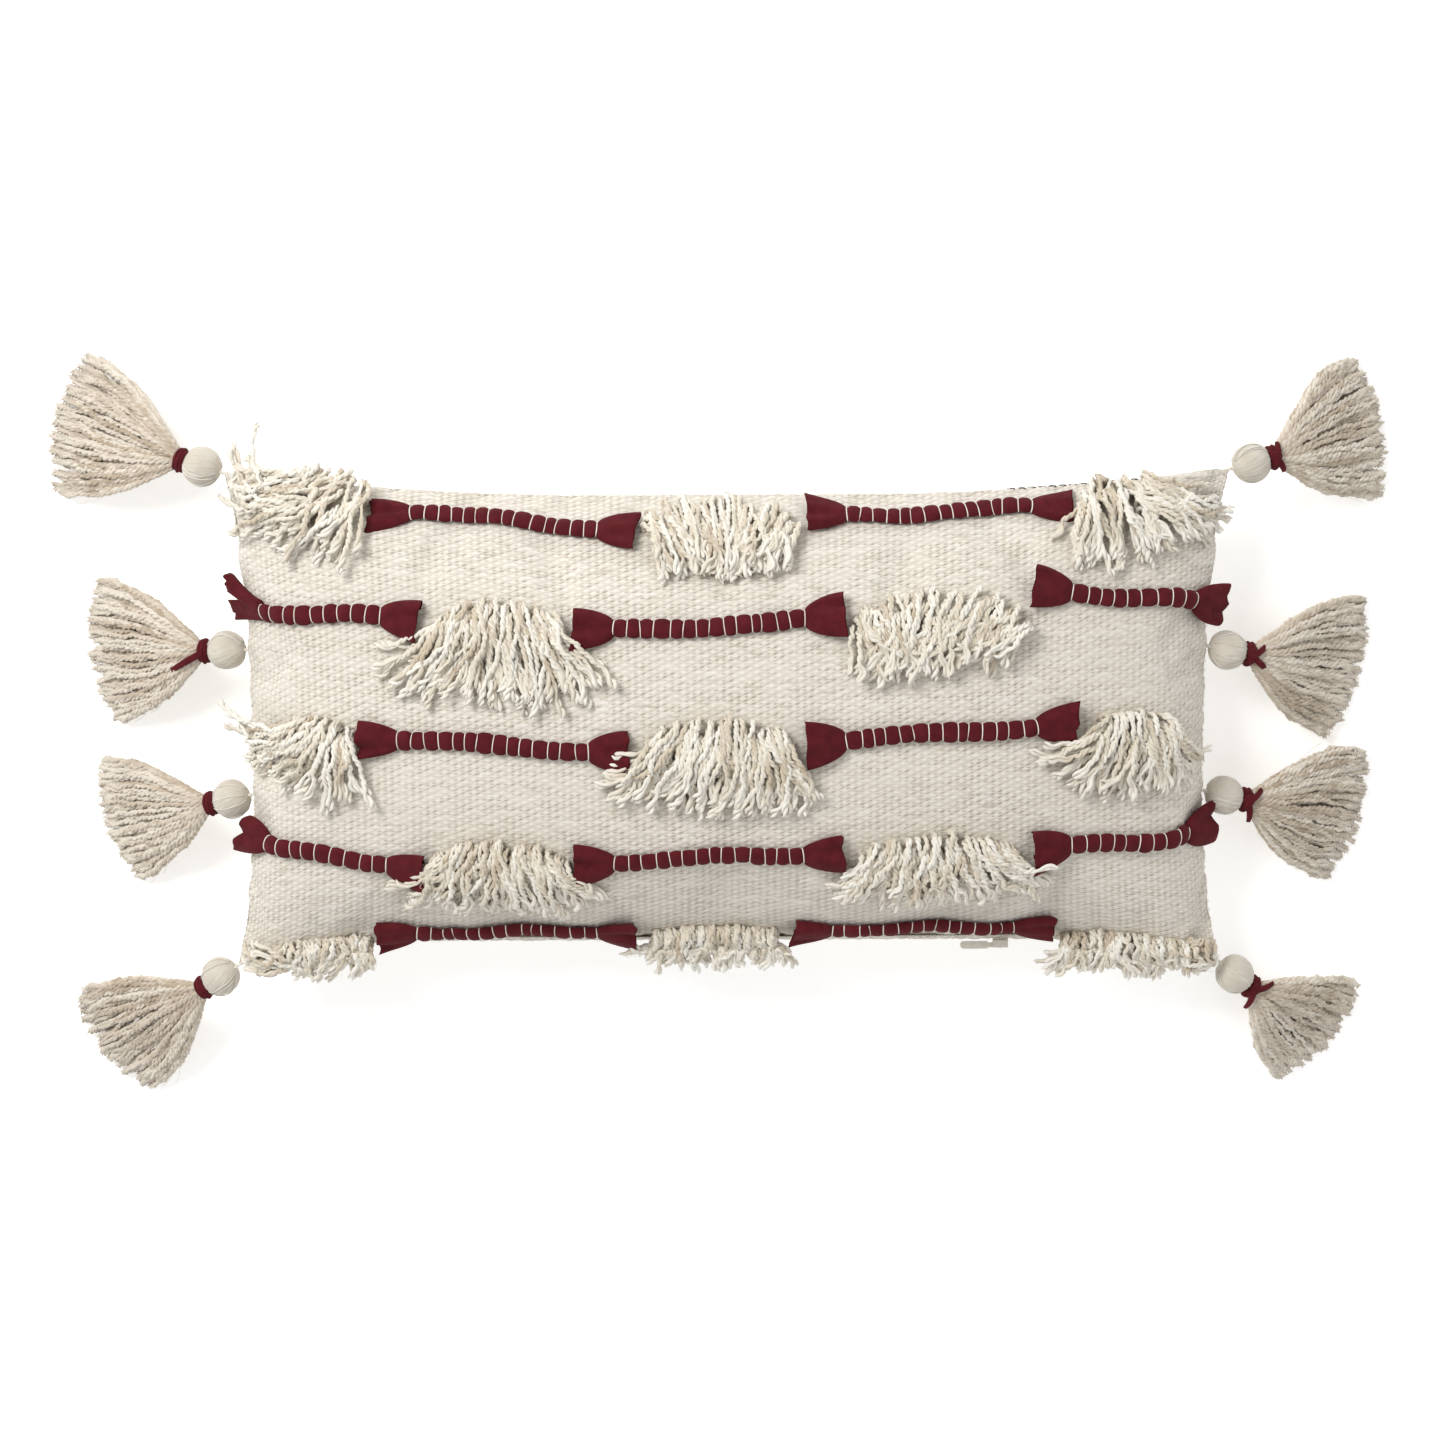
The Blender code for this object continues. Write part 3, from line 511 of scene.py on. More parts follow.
def read_moves(grid, a, b):
    """Straight reading between a grid's values at crown angles."""
    columns, rows = grid.shape[0] - 1, grid.shape[1] - 1
    x = np.clip((a / pi + 0.5) * columns, 0, columns)
    y = np.clip((b / pi + 0.5) * rows, 0, rows)
    i, k = np.minimum(x.astype(int), columns - 1), np.minimum(y.astype(int), rows - 1)
    s, t = (x - i)[..., None], (y - k)[..., None]
    low = grid[i, k] * (1 - s) + grid[i + 1, k] * s
    high = grid[i, k + 1] * (1 - s) + grid[i + 1, k + 1] * s
    return low * (1 - t) + high * t


def puckers(a, b):
    """Small gathers that run in from the seams."""
    near_end = np.clip(1 - (QUARTER - np.abs(b)) / PUCKER_DEPTH, 0, 1)
    near_side = np.clip(1 - (QUARTER - np.abs(a)) / PUCKER_DEPTH, 0, 1)
    along_end = np.sin(a * 41 + 1.3 * np.sin(a * 7)) + 0.6 * np.sin(a * 67 + 2)
    along_side = np.sin(b * 23 + 1.1 * np.sin(b * 5) + 1) + 0.6 * np.sin(b * 37)
    fade = np.sin(pi * near_end) * along_end + np.sin(pi * near_side) * along_side
    return PUCKER * 0.5 * fade


def cover(a, b, front=True):
    """The cover's finished surface, without its weave."""
    place = crowned(a, b, front) + read_moves(FACE_MOVES if front else BACK_MOVES, a, b)
    out = puckers(a, b) * (1 if front else -1)
    place[..., 2] += out * np.clip(np.cos(a) * np.cos(b) * 3, 0, 1)
    if not front:
        place[..., 2] = np.maximum(place[..., 2], 0.0)
    return place


def cover_normal(a, b, front=True):
    step = 0.004
    a0, a1 = np.maximum(a - step, -QUARTER), np.minimum(a + step, QUARTER)
    b0, b1 = np.maximum(b - step, -QUARTER), np.minimum(b + step, QUARTER)
    along = cover(a1, b, front) - cover(a0, b, front)
    up = cover(a, b1, front) - cover(a, b0, front)
    normal = np.cross(along, up)
    if not front:
        normal = -normal
    short = np.linalg.norm(normal, axis=-1, keepdims=True) < 1e-12
    return unit(np.where(short, (0.0, 0.0, 1.0 if front else -1.0), normal))


def over_face(x, y, height):
    """Places and normals over the face; past a seam they run out and sag."""
    x, y = np.broadcast_arrays(np.asarray(x, float), np.asarray(y, float))
    u, v = x / HALF_LENGTH, y / HALF_HEIGHT
    for _ in range(6):
        side, end = outline(np.clip(u, -EDGE_HOLD, EDGE_HOLD), np.clip(v, -EDGE_HOLD, EDGE_HOLD))
        u, v = x / side, y / end
    u, v = np.clip(u, -EDGE_HOLD, EDGE_HOLD), np.clip(v, -EDGE_HOLD, EDGE_HOLD)
    a, b = np.arcsin(u), np.arcsin(v)
    base, normal = cover(a, b), cover_normal(a, b)
    past = np.stack([x - u * side, y - v * end, np.zeros_like(x)], -1)
    out = np.linalg.norm(past, axis=-1)
    base = base + past
    base[..., 2] -= EDGE_DROP * out + EDGE_SAG * out**2
    level = (EDGE_LEVEL * np.clip(out / 0.004, 0, 1))[..., None]
    normal = unit(normal * (1 - level) + np.array((0.0, 0.0, 1.0)) * level)
    return base + normal * np.asarray(height)[..., None], normal


def row_y(row, x=0.0):
    v = sin(ROW_ANGLES[row])
    return float(v * outline(np.asarray(x / HALF_LENGTH), np.asarray(v))[1])


def even_angles(half_span, crown, cells):
    """Angles that cut the cushion's arc into even lengths of cloth."""
    fine = np.linspace(-QUARTER, QUARTER, 2001)
    speed = np.hypot(half_span * np.cos(fine), crown * np.sin(fine))
    length = np.concatenate([[0], np.cumsum((speed[1:] + speed[:-1]) / 2)])
    return np.interp(np.linspace(0, length[-1], cells + 1), length, fine)


def weave(floats, courses, rng):
    """Weft floats in a brick pattern, each course half a float on from the last.

    Gives heights from 0 in the gaps to 1 on the floats, a random tone for each float,
    and the slant of its ends.
    """
    i = np.arange(floats * FLOAT_COLUMNS + 1)[:, None]
    k = np.arange(courses * COURSE_ROWS + 1)[None, :]
    course = k // COURSE_ROWS
    shifted = i + FLOAT_COLUMNS // 2 * (course % 2)
    phase = shifted % FLOAT_COLUMNS
    draws = rng.uniform(0, 1, (2, floats + 3, courses + 2))
    own, loose = draws[:, (shifted + FLOAT_COLUMNS // 2) // FLOAT_COLUMNS, course]
    thick = 0.88 + 0.24 * rng.uniform(0, 1, courses + 2)[course]
    on_float = np.select([phase == 0, phase == 2], [0.80 + 0.35 * own, 0.30], 0.45 + 0.12 * loose)
    between = np.where(phase % 2 == 0, 0.52, 0.02 + 0.34 * loose**1.5)
    in_course = k % COURSE_ROWS == 1
    height = np.where(in_course, on_float, between) * thick
    slant = np.where(in_course, np.select([phase == 1, phase == 3], [1.0, -1.0], 0.0), 0.0)
    return height, own + 0 * k, slant


def make_face_cloth(material):
    """The woven face: every float of weft is a raised grain."""
    rng = np.random.default_rng(11)
    columns, rows = FACE_FLOATS * FLOAT_COLUMNS, FACE_COURSES * COURSE_ROWS
    a = even_angles(HALF_LENGTH, CROWN_FRONT, columns)
    b = even_angles(HALF_HEIGHT, CROWN_FRONT, rows)
    a, b = np.meshgrid(a, b, indexing="ij")
    height, tone, slant = weave(FACE_FLOATS, FACE_COURSES, rng)
    cells = np.minimum(np.gradient(a, axis=0), np.gradient(b, axis=1) * 2)
    a = np.clip(a + rng.normal(0, 0.13, a.shape) * cells * np.cos(a) ** 0.5, -QUARTER, QUARTER)
    wander = waves(rng, rows + 1, np.arange(columns + 1), (70, 29, 13), 0.40).T
    wander = wander + WEAVE_SLANT * slant + rng.normal(0, 0.07, b.shape)
    b = np.clip(b + wander * np.gradient(b, axis=1) * np.cos(b), -QUARTER, QUARTER)
    points = cover(a, b) + cover_normal(a, b) * (WEAVE_RELIEF * (height - 0.5))[..., None]
    fold_seam(points)
    values = {"weave": height.ravel(), "grain": tone.ravel()}
    return shell("cover_face", [points], material, values)


def fold_seam(points):
    """Draws a panel's outermost ring in, so that the seam lies in a groove."""
    rim = np.zeros(points.shape[:2], bool)
    rim[[0, -1]] = True
    rim[:, [0, -1]] = True
    inward = unit(points[rim] * (1, 1, 0))
    points[rim] -= inward * SEAM_FOLD
    points[rim, 2] = SEAM_HEIGHT


def make_back_cloth(material):
    """The plainer, flatter weave of the back."""
    rng = np.random.default_rng(12)
    a, b = np.meshgrid(
        even_angles(HALF_LENGTH, CROWN_BACK, BACK_FLOATS * FLOAT_COLUMNS),
        even_angles(HALF_HEIGHT, CROWN_BACK, BACK_COURSES * COURSE_ROWS),
        indexing="ij",
    )
    height, tone, _ = weave(BACK_FLOATS, BACK_COURSES, rng)
    points = cover(a, b, False)
    raised = points + cover_normal(a, b, False) * (0.5 * WEAVE_RELIEF * (height - 0.5))[..., None]
    raised[..., 2] = np.maximum(raised[..., 2], 0.0)
    fold_seam(raised)
    values = {"weave": height[::-1].ravel(), "grain": tone[::-1].ravel()}
    return shell("cover_back", [raised[::-1]], material, values)


def make_insert(ticking, fibre):
    """Insert skins and filling, a little lumpy, inside the cover."""
    a, b = angle_grid(*SIM_CELLS)
    edge = PANEL_WALL + INSERT_EDGE_ROOM
    lumps = 0.0006 * (np.sin(a * 17 + 2 * np.sin(b * 5)) + np.sin(b * 13 + 2 * np.sin(a * 7)))
    for name, front in (("insert_front", True), ("insert_back", False)):
        grid = crowned(a, b, front, edge, PANEL_WALL + 0.0012 + lumps * np.cos(a) * np.cos(b))
        skin = shell(name + "_skin", [grid if front else grid[::-1]], ticking)
        hand_over(skin, "cover", "ticking", name)
    inner = PANEL_WALL + 0.0040 + 2 * lumps * np.cos(a) * np.cos(b)
    sides = [crowned(a, b, front, edge + 0.002, inner) for front in (True, False)]
    fill = shell("fill_fibre", [sides[0], sides[1][::-1]], fibre)
    hand_over(fill, "cover", "polyester_fibre", "fill")


# ------------------------------------------------------------------ cords


def cord_line(name):
    """Plan places of a cord's two ends, from its box in the frame."""
    low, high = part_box(name)
    middle = (low.y + high.y) / 2
    rise = CORD_RISES[name]
    return np.array((low.x, middle - rise / 2)), np.array((high.x, middle + rise / 2))


def ring_points(centre, across, normal, half_width, half_height, turn):
    """Rounded section rings: centre and frames are (stations, 3), sizes (stations, sides)."""
    return (
        centre[:, None]
        + across[:, None] * (half_width * np.cos(turn))[..., None]
        + normal[:, None] * (half_height * np.sin(turn))[..., None]
    )


def frames_along(points, normal):
    tangent = unit(np.gradient(points, axis=0))
    across = unit(np.cross(normal, tangent))
    return tangent, across, unit(np.cross(tangent, across))


def mouth_rings(start, direction, across, normal, rng, width, thickness, length, splay=0.0):
    """A cut end that opens out from its last tie, doubled back inside so that it has a wall."""
    stations, inside = 18, 10
    q = np.concatenate([np.linspace(0, 1, stations), np.linspace(0.97, 0.25, inside)])
    wall = np.concatenate([np.zeros(stations), np.full(inside, MOUTH_WALL)])
    turn = np.arange(CORD_SIDES) * 2 * pi / CORD_SIDES
    ease = np.sin(q * QUARTER) ** 0.62 * (1 + rng.uniform(-0.10, 0.10) * q**2)
    half_width = CORD_HALF_WIDTH * 0.8 + (width - CORD_HALF_WIDTH * 0.8) * ease - wall
    half_height = CORD_THICKNESS * 0.40 + (thickness / 2 - CORD_THICKNESS * 0.40) * q**0.7 - wall
    phase, fold = rng.uniform(0, 2 * pi, 2), rng.uniform(1.0, 2.1, 2)
    folds = 1 + q[:, None] ** 1.5 * (
        0.05 * np.cos(3 * turn + phase[0]) + 0.03 * np.cos(5 * turn + phase[1])
    )
    crease = 1 - 0.62 * q[:, None] ** 0.6 * np.exp(-(((turn - fold[0]) / 0.30) ** 2))
    crease -= 0.30 * q[:, None] * np.exp(-(((turn - fold[1]) / 0.22) ** 2))
    corner = np.exp(8 * (np.cos(turn - pi * rng.integers(2)) - 1))
    cut = rng.normal(0, 0.0010) * np.cos(turn) + 0.0004 * np.cos(5 * turn + phase[1])
    centre = start + direction * (length * q)[:, None] + across * (splay * q**2)[:, None]
    centre = centre + normal * (half_height - half_height[0] + 0.0010 * q**2)[:, None]
    frames = (np.broadcast_to(v, centre.shape) for v in (across, normal))
    curl = (q**3)[:, None] * corner
    rings = ring_points(
        centre,
        *frames,
        half_width[:, None] * folds * (1 + 0.12 * curl),
        half_height[:, None] * folds * crease,
        turn,
    )
    rings = rings + direction * (cut * q[:, None] ** 2 + MOUTH_CURL * 0.5 * curl)[..., None]
    return rings + normal * (MOUTH_CURL * curl)[..., None]


def ring_shell(name, loops, material):
    """One object from lists of rings: each list is (stations, sides, 3), closed round and capped."""
    points, blocks, caps, corners, first = [], [], [], [], 0
    for k, rings in enumerate(loops):
        stations, sides = rings.shape[:2]
        index = first + np.arange(stations * sides).reshape(stations, sides)
        wrapped = np.concatenate([index, index[:, :1]], 1)
        blocks.append(grid_faces(wrapped)[:, ::-1])
        caps.append(index[[0]][:, ::-1])
        caps.append(index[[-1]])
        place = grid_corners(stations, sides + 1)[:, ::-1]
        corners.append(np.stack([place[..., 0], (k + 0.03 + 0.9 * place[..., 1]) / len(loops)], -1))
        points.append(rings.reshape(-1, 3))
        first += stations * sides
    for k, cap in enumerate(caps):
        turn = np.arange(cap.shape[1]) * 2 * pi / cap.shape[1]
        spot = np.stack(
            [0.005 + 0.9 * k / len(caps) + 0.003 * np.cos(turn), 0.0025 + 0.002 * np.sin(turn)], -1
        )
        corners.append(spot[None])
    flat = np.concatenate([c.reshape(-1, 2) for c in corners])
    return make_object(name, np.concatenate(points), [np.concatenate(blocks), *caps], material, flat)


def make_cord(name, material, ties):
    """A jersey strip in barrel-shaped beads between ties, its cut ends opened out."""
    rng = np.random.default_rng(sum(map(ord, name)))
    left, right = cord_line(name)
    length = np.linalg.norm(right - left)
    heading = (right - left) / length
    run = length - 2 * MOUTH_LENGTH
    beads = max(4, round(run / BEAD_PITCH))
    stations = round(run / CORD_STEP)
    s = np.linspace(0, 1, stations + 1)
    plan = left + heading * (MOUTH_LENGTH + run * s)[:, None]
    plan[:, 1] += 0.0012 * np.sin(pi * s * 2 + rng.uniform(0, 6))
    edges = np.linspace(0, 1, beads + 1)
    edges[1:-1] += rng.normal(0, 0.10, beads - 1) / beads
    bead = np.interp(s, edges, np.arange(beads + 1))
    waist = 1 - BEAD_WAIST * np.abs(np.cos(pi * bead)) ** 5
    plump = 1 + 0.05 * rng.normal(size=beads + 1)[np.minimum(bead.astype(int), beads)]
    half_width = CORD_HALF_WIDTH * waist * plump
    half_height = CORD_THICKNESS / 2 * waist
    base, normal = over_face(plan[:, 0], plan[:, 1], 0.0002 + half_height)
    tangent, across, normal = frames_along(base, normal)
    turn = np.arange(CORD_SIDES) * 2 * pi / CORD_SIDES
    body = ring_points(base, across, normal, half_width[:, None], half_height[:, None], turn)
    loops = [body]
    for end, sign in ((0, -1), (-1, 1)):
        frame_here = (tangent[end] * sign, across[end] * sign, normal[end])
        if name == SPLIT_CORD and end == 0:
            for splay, wide, long in SPLIT_LOBES:
                shift = base[end] + frame_here[1] * splay * 0.30
                loops.append(mouth_rings(shift, *frame_here, rng, wide, 0.0090, long, splay))
            continue
        width = MOUTH_HALF_WIDTH * rng.uniform(0.88, 1.12)
        loops.append(
            mouth_rings(base[end], *frame_here, rng, width, MOUTH_THICKNESS, MOUTH_LENGTH - 0.0015)
        )
    cord = ring_shell(name + "_strip", loops, material)
    hand_over(cord, "cover", "maroon_jersey", name)
    for edge in edges:
        k = int(round(edge * stations))
        arc = np.linspace(-0.35, pi + 0.35, 15)
        slant = tangent[k] * rng.normal(0, 0.0003)
        lift = (half_height[k] + 0.4 * TIE_RADIUS) * np.sin(arc)
        out = (half_width[k] + 0.4 * TIE_RADIUS) * np.cos(arc)
        path = base[k] + across[k] * out[:, None] + normal[k] * lift[:, None]
        path = path + slant * np.cos(arc)[:, None]
        ties.add(path[None], TIE_RADIUS, 6, tone=[rng.uniform()])


# ------------------------------------------------------------ yarn and tufts


def add_yarn(tubes, paths, rng, loose_length, tone):
    """Two twisted plies along each path, which open and fluff out at the free end."""
    strands, stations, _ = paths.shape
    step = np.linalg.norm(np.diff(paths, axis=1), axis=-1)
    length = np.concatenate([np.zeros((strands, 1)), np.cumsum(step, axis=1)], 1)
    tangent = unit(np.gradient(paths, axis=1))
    side = unit(np.cross(tangent, (0.0, 0.0, 1.0)) + 1e-9)
    over = np.cross(side, tangent)
    from_end = length[:, -1:] - length
    loose = np.clip(1 - from_end / loose_length, 0, 1)
    slub = 1 + waves(rng, strands, np.linspace(0, 1, stations), (0.45, 0.2), 0.30)
    tip = np.clip(from_end / 0.0030, 0.0, 1.0) ** 0.5 * 0.75 + 0.25
    radius = PLY_RADIUS * slub * (1 + 0.30 * loose) * tip
    offset = PLY_OFFSET * slub * (1 + 1.2 * loose**1.5)
    twist = 2 * pi * length / PLY_PITCH * (1 - 0.35 * loose) + rng.uniform(0, 2 * pi, (strands, 1))
    for ply in range(YARN_PLIES):
        turn = twist + 2 * pi * ply / YARN_PLIES
        path = paths + (offset * np.cos(turn))[..., None] * side
        path = path + (offset * np.sin(turn))[..., None] * over
        path[..., 2] = np.maximum(path[..., 2], radius + FLOOR_ROOM)
        tubes.add(path, radius, PLY_SIDES, tone=tone)
    add_fibres(tubes, paths, rng, side, over, tone)


def add_fibres(tubes, paths, rng, side, over, tone):
    """Fine fibres that stand away from each strand's last stretch."""
    strands, stations, _ = paths.shape
    first = int(stations * 0.6)
    for _ in range(FIBRES):
        start = rng.integers(0, first // 2, strands)
        pick = start[:, None] + np.arange(stations - first)[None, :] + first // 2
        rows = np.arange(strands)[:, None]
        grow = np.linspace(0, 1, stations - first) ** 1.3
        away = rng.normal(0, 0.0022, (strands, 2))
        path = paths[rows, pick]
        path = path + (away[:, :1] * grow)[..., None] * side[rows, pick]
        path = path + (away[:, 1:] * grow)[..., None] * over[rows, pick]
        path[..., 2] = np.maximum(path[..., 2], FLOOR_ROOM + FIBRE_RADIUS)
        tubes.add(path, FIBRE_RADIUS, 3, tone=tone)


def tuft_paths(row, left, right, above, below, lean, fan, rng):
    """Strands knotted in at the row that rise, turn over and lie down the face."""
    count = int((right - left) / YARN_SPACING)
    share = (np.arange(count) + rng.uniform(0.1, 0.9, count)) / count
    lock = (np.arange(count) // LOCK_SIZE)[:, None]
    locks = lock.max() + 1
    layer = rng.permutation(count) / count
    side = 2 * share - 1
    centre = row_y(row, (left + right) / 2)
    x0 = left + (right - left) * (0.03 + 0.94 * share) + rng.normal(0, 0.0015, count)
    dome = np.sqrt(np.maximum(0.10, 1 - 0.85 * side**2))
    y0 = centre - 0.006 + (above - 0.003) * layer * dome
    stray = rng.normal(0, radians(9), count) + rng.normal(0, radians(9), locks)[lock[:, 0]]
    heading = radians(lean) + radians(fan) * side + np.clip(stray, -MOST_STRAY, MOST_STRAY)
    ahead = np.maximum(np.cos(heading), 0.25)
    reach = ((y0 - centre) * ahead + below) * rng.uniform(0.80, 1.08, count)
    s = np.linspace(0, 1, YARN_POINTS)[None, :]
    arch = rng.uniform(0.012, 0.023, count)[:, None]
    length = np.maximum(reach, 0.022)[:, None] + 0.45 * arch
    along = s * length
    tilt = rng.uniform(1.6, 2.7, (count, 1)) * (1 - along / arch)
    tilt = np.where(tilt < -0.6, -0.6 * np.exp(-(along - 1.3 * arch) / 0.020), tilt)
    step = length / (YARN_POINTS - 1)
    down = np.cumsum(np.cos(tilt) * step, 1) - np.cos(tilt) * step
    height = np.cumsum(np.sin(tilt) * step, 1) - np.sin(tilt) * step
    pile = TUFT_PILE * (layer[:, None] ** 1.2) * (1 - 0.55 * s)
    lowest = 0.0012 + pile + 0.0008 * rng.uniform(size=(count, 1))
    height = np.maximum(height, lowest * np.clip(along / 0.006, 0, 1))
    height = height + rng.uniform(0, 1, count)[:, None] ** 4 * 0.006 * s**4
    height = TUFT_TOP * np.tanh(height / TUFT_TOP)
    bend = waves(rng, locks, s[0], (1.6, 0.8), 0.0050)[lock[:, 0]] * s**1.3
    crinkle = waves(rng, count, s[0], (0.40, 0.23), 0.0012) * np.clip(s * 5, 0, 1)
    height = height + np.abs(waves(rng, count, s[0], (0.4, 0.17), 0.0008)) * np.clip(s * 4, 0, 1)
    curve = heading[:, None] * (0.75 + 0.35 * s)
    curve = curve + np.clip(rng.normal(0, 0.22, (count, 1)), -MOST_STRAY, MOST_STRAY) * s
    x = x0[:, None] + down * np.sin(curve) + (bend + crinkle) * np.cos(curve)
    y = y0[:, None] - down * np.cos(curve) + (bend + crinkle) * np.sin(curve)
    places, _ = over_face(*clear_of_heads(x, y), height)
    places[..., 2] = np.maximum(places[..., 2], 0.002)
    return places


def clear_of_heads(x, y):
    """Keeps strands out of the tassels' heads and of the space that they swing through."""
    for name in TASSELS:
        tassel = Tassel(name)
        ball = tassel.world(tassel.head * 0.7)
        side = np.sign(ball[0])
        room = HEAD_CLEARANCE**2 - (y - ball[1]) ** 2
        limit = side * ball[0] - np.sqrt(np.maximum(room, 0.0))
        x = np.where(room > 0, side * np.minimum(side * x, limit), x)
    return x, y


def make_tuft(name, material):
    rng = np.random.default_rng(sum(map(ord, name)) + 7)
    row, above, below, lean, fan, first, last = TUFTS[name]
    low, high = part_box(name)
    left, right = low.x + (high.x - low.x) * first, low.x + (high.x - low.x) * last
    paths = tuft_paths(row, left, right, above, below, lean, fan, rng)
    tubes = Tubes()
    add_yarn(tubes, paths, rng, 0.014, rng.uniform(size=len(paths)))
    tuft = tubes.build(name + "_yarn", material)
    hand_over(tuft, "cover", "cotton_yarn", name)


# ---------------------------------------------------------------- tassels


def bezier(points, t):
    p0, p1, p2, p3 = (np.asarray(p) for p in points)
    t = np.asarray(t)[..., None]
    s = 1 - t
    place = p0 * s**3 + 3 * p1 * s * s * t + 3 * p2 * s * t * t + p3 * t**3
    slope = (p1 - p0) * s * s + (p2 - p1) * 2 * s * t + (p3 - p2) * t * t
    return place, unit(slope)


class Tassel:
    """A tassel's own frame: x runs out from its pivot, y across, z up."""

    def __init__(self, name):
        joint = next(j for j in frame["joints"] if j["name"] == name + "_swing")
        self.name = name
        self.reach, self.tip_width = TASSELS[name]
        self.pivot = np.array(joint["pos_m"])
        axis = joint["axis"]
        self.out = np.array((-axis[1], axis[0], 0.0))
        self.side = np.array((-self.out[1], self.out[0], 0.0))
        self.forward = np.array((cos(HEAD_DROOP), 0.0, -sin(HEAD_DROOP)))
        self.up = np.array((sin(HEAD_DROOP), 0.0, cos(HEAD_DROOP)))
        self.head = self.forward * (HEAD_RADIUS + HANGER_RADIUS)
        self.neck = sqrt(HEAD_RADIUS**2 - NECK_RADIUS**2)
        self.right = self.pivot[0] > 0
        self.rng = np.random.default_rng(sum(map(ord, name)) + 31)

    def world(self, points):
        return (
            self.pivot
            + points[..., [0]] * self.out
            + points[..., [1]] * self.side
            + points[..., [2]] * Z_AXIS
        )

    def lay(self, centre, ahead, across, over):
        """World places at distances along the head's axis, across it and over it from a centre."""
        return self.world(
            centre
            + self.forward * np.asarray(ahead)[..., None]
            + Y_AXIS * np.asarray(across)[..., None]
            + self.up * np.asarray(over)[..., None]
        )

    def spine(self, t):
        start = self.head + self.forward * (self.neck + BAND_LENGTH)
        tip = np.array((self.reach, 0.0, -self.pivot[2] + TIP_THICKNESS / 2 + FLOOR_ROOM))
        handle = np.linalg.norm(tip - start) / 3
        slope = np.array((cos(TIP_SLOPE), 0.0, -sin(TIP_SLOPE)))
        return bezier((start, start + self.forward * handle, tip - slope * handle, tip), t)

    def own(self, piece, *endings, slot="cotton_yarn", body=None):
        """endings are the ends of the names of the nodes that the piece stands for."""
        hand_over(piece, body or self.name, slot, *(self.name + ending for ending in endings))


def skirt_paths(tassel):
    rng = tassel.rng
    count = SKIRT_STRANDS
    fan = np.clip(2 * (np.arange(count) + rng.uniform(0, 1, count)) / count - 1, -1, 1)
    fan = np.sign(fan) * np.abs(fan) ** 0.92
    depth = 2 * ((rng.permutation(count) + 0.5) / count) - 1
    depth *= np.sqrt(np.maximum(0.12, 1 - fan**2))
    reach = (1 - 0.13 * fan**2) * rng.uniform(0.90, 1.04, count)
    s = np.linspace(0, 1, SKIRT_POINTS)
    t = s[None, :] * reach[:, None]
    place, slope = tassel.spine(np.minimum(t, SKIRT_PLACES[-1]))
    over = np.stack([-slope[..., 2], 0 * slope[..., 2], slope[..., 0]], -1)
    share = 0.10 + 0.90 * (1 - np.maximum(1 - t, 0) ** 2.2)
    neck = np.clip(1 - t * 5, 0, 1) ** 2
    wide = fan[:, None] * (share * tassel.tip_width / 2 * 0.97)
    thick = np.interp(t, SKIRT_PLACES, SKIRT_DEPTHS)
    lock = np.argsort(np.argsort(fan)) // 5
    locks = lock.max() + 1
    lean = waves(rng, locks, s, (1.4, 0.7), 0.0035)[lock] * s**1.2
    crinkle = waves(rng, count, s, (0.24, 0.15), 0.0009) * np.clip(s * 4, 0, 1)
    rise = waves(rng, count, s, (0.25, 0.12), 0.0010) * np.clip(s * 4, 0, 1)
    path = place + over * (depth[:, None] * thick + rise)[..., None] * (1 - 0.25 * neck)[..., None]
    path[..., 1] += wide + lean + crinkle
    lowest = -tassel.pivot[2] + FLOOR_ROOM + 1.4 * PLY_RADIUS
    path[..., 2] = np.maximum(path[..., 2], lowest)
    return path


def make_skirt(tassel, material):
    paths = tassel.world(skirt_paths(tassel))
    tubes = Tubes()
    add_yarn(tubes, paths, tassel.rng, 0.010, tassel.rng.uniform(size=len(paths)))
    tassel.own(tubes.build(tassel.name + "_skirt", material), "_yarn")


def make_head(tassel, material):
    """A ball of cotton laid over in ribs from the loop to the neck."""
    polar = np.linspace(0.02, pi - 0.30, 56)[:, None]
    turn = (np.arange(112) * 2 * pi / 112)[None, :]
    swirl = turn + 0.25 * polar
    ribs = 0.014 * np.cos(HEAD_RIBS * swirl) + 0.010 * np.cos(HEAD_RIBS * 0.5 * swirl + 3 * polar)
    soft = 0.018 * np.cos(3 * turn + 2) * np.sin(polar) + 0.015 * np.cos(2 * polar + turn)
    radius = HEAD_RADIUS * (HEAD_SWELL + (ribs + soft) * np.sin(polar))
    round_axis = radius * np.sin(polar)
    ball = tassel.lay(
        tassel.head, -radius * np.cos(polar), round_axis * np.cos(turn), round_axis * np.sin(turn)
    )
    tassel.own(ring_shell(tassel.name + "_head", [ball[:, ::-1]], material))
    threads = Tubes()
    arc = np.linspace(0.42, pi - 0.5, 22)
    far = HEAD_RADIUS * THREAD_LIFT
    for _ in range(HEAD_THREADS):
        bend = tassel.rng.uniform(0, 2 * pi) + 0.5 * np.sin(arc) * tassel.rng.normal()
        path = tassel.lay(
            tassel.head,
            -far * np.cos(arc),
            far * np.sin(arc) * np.cos(bend),
            far * np.sin(arc) * np.sin(bend),
        )
        threads.add(path[None], THREAD_RADIUS, 5, tone=[tassel.rng.uniform()])
    tassel.own(threads.build(tassel.name + "_head_threads", material))


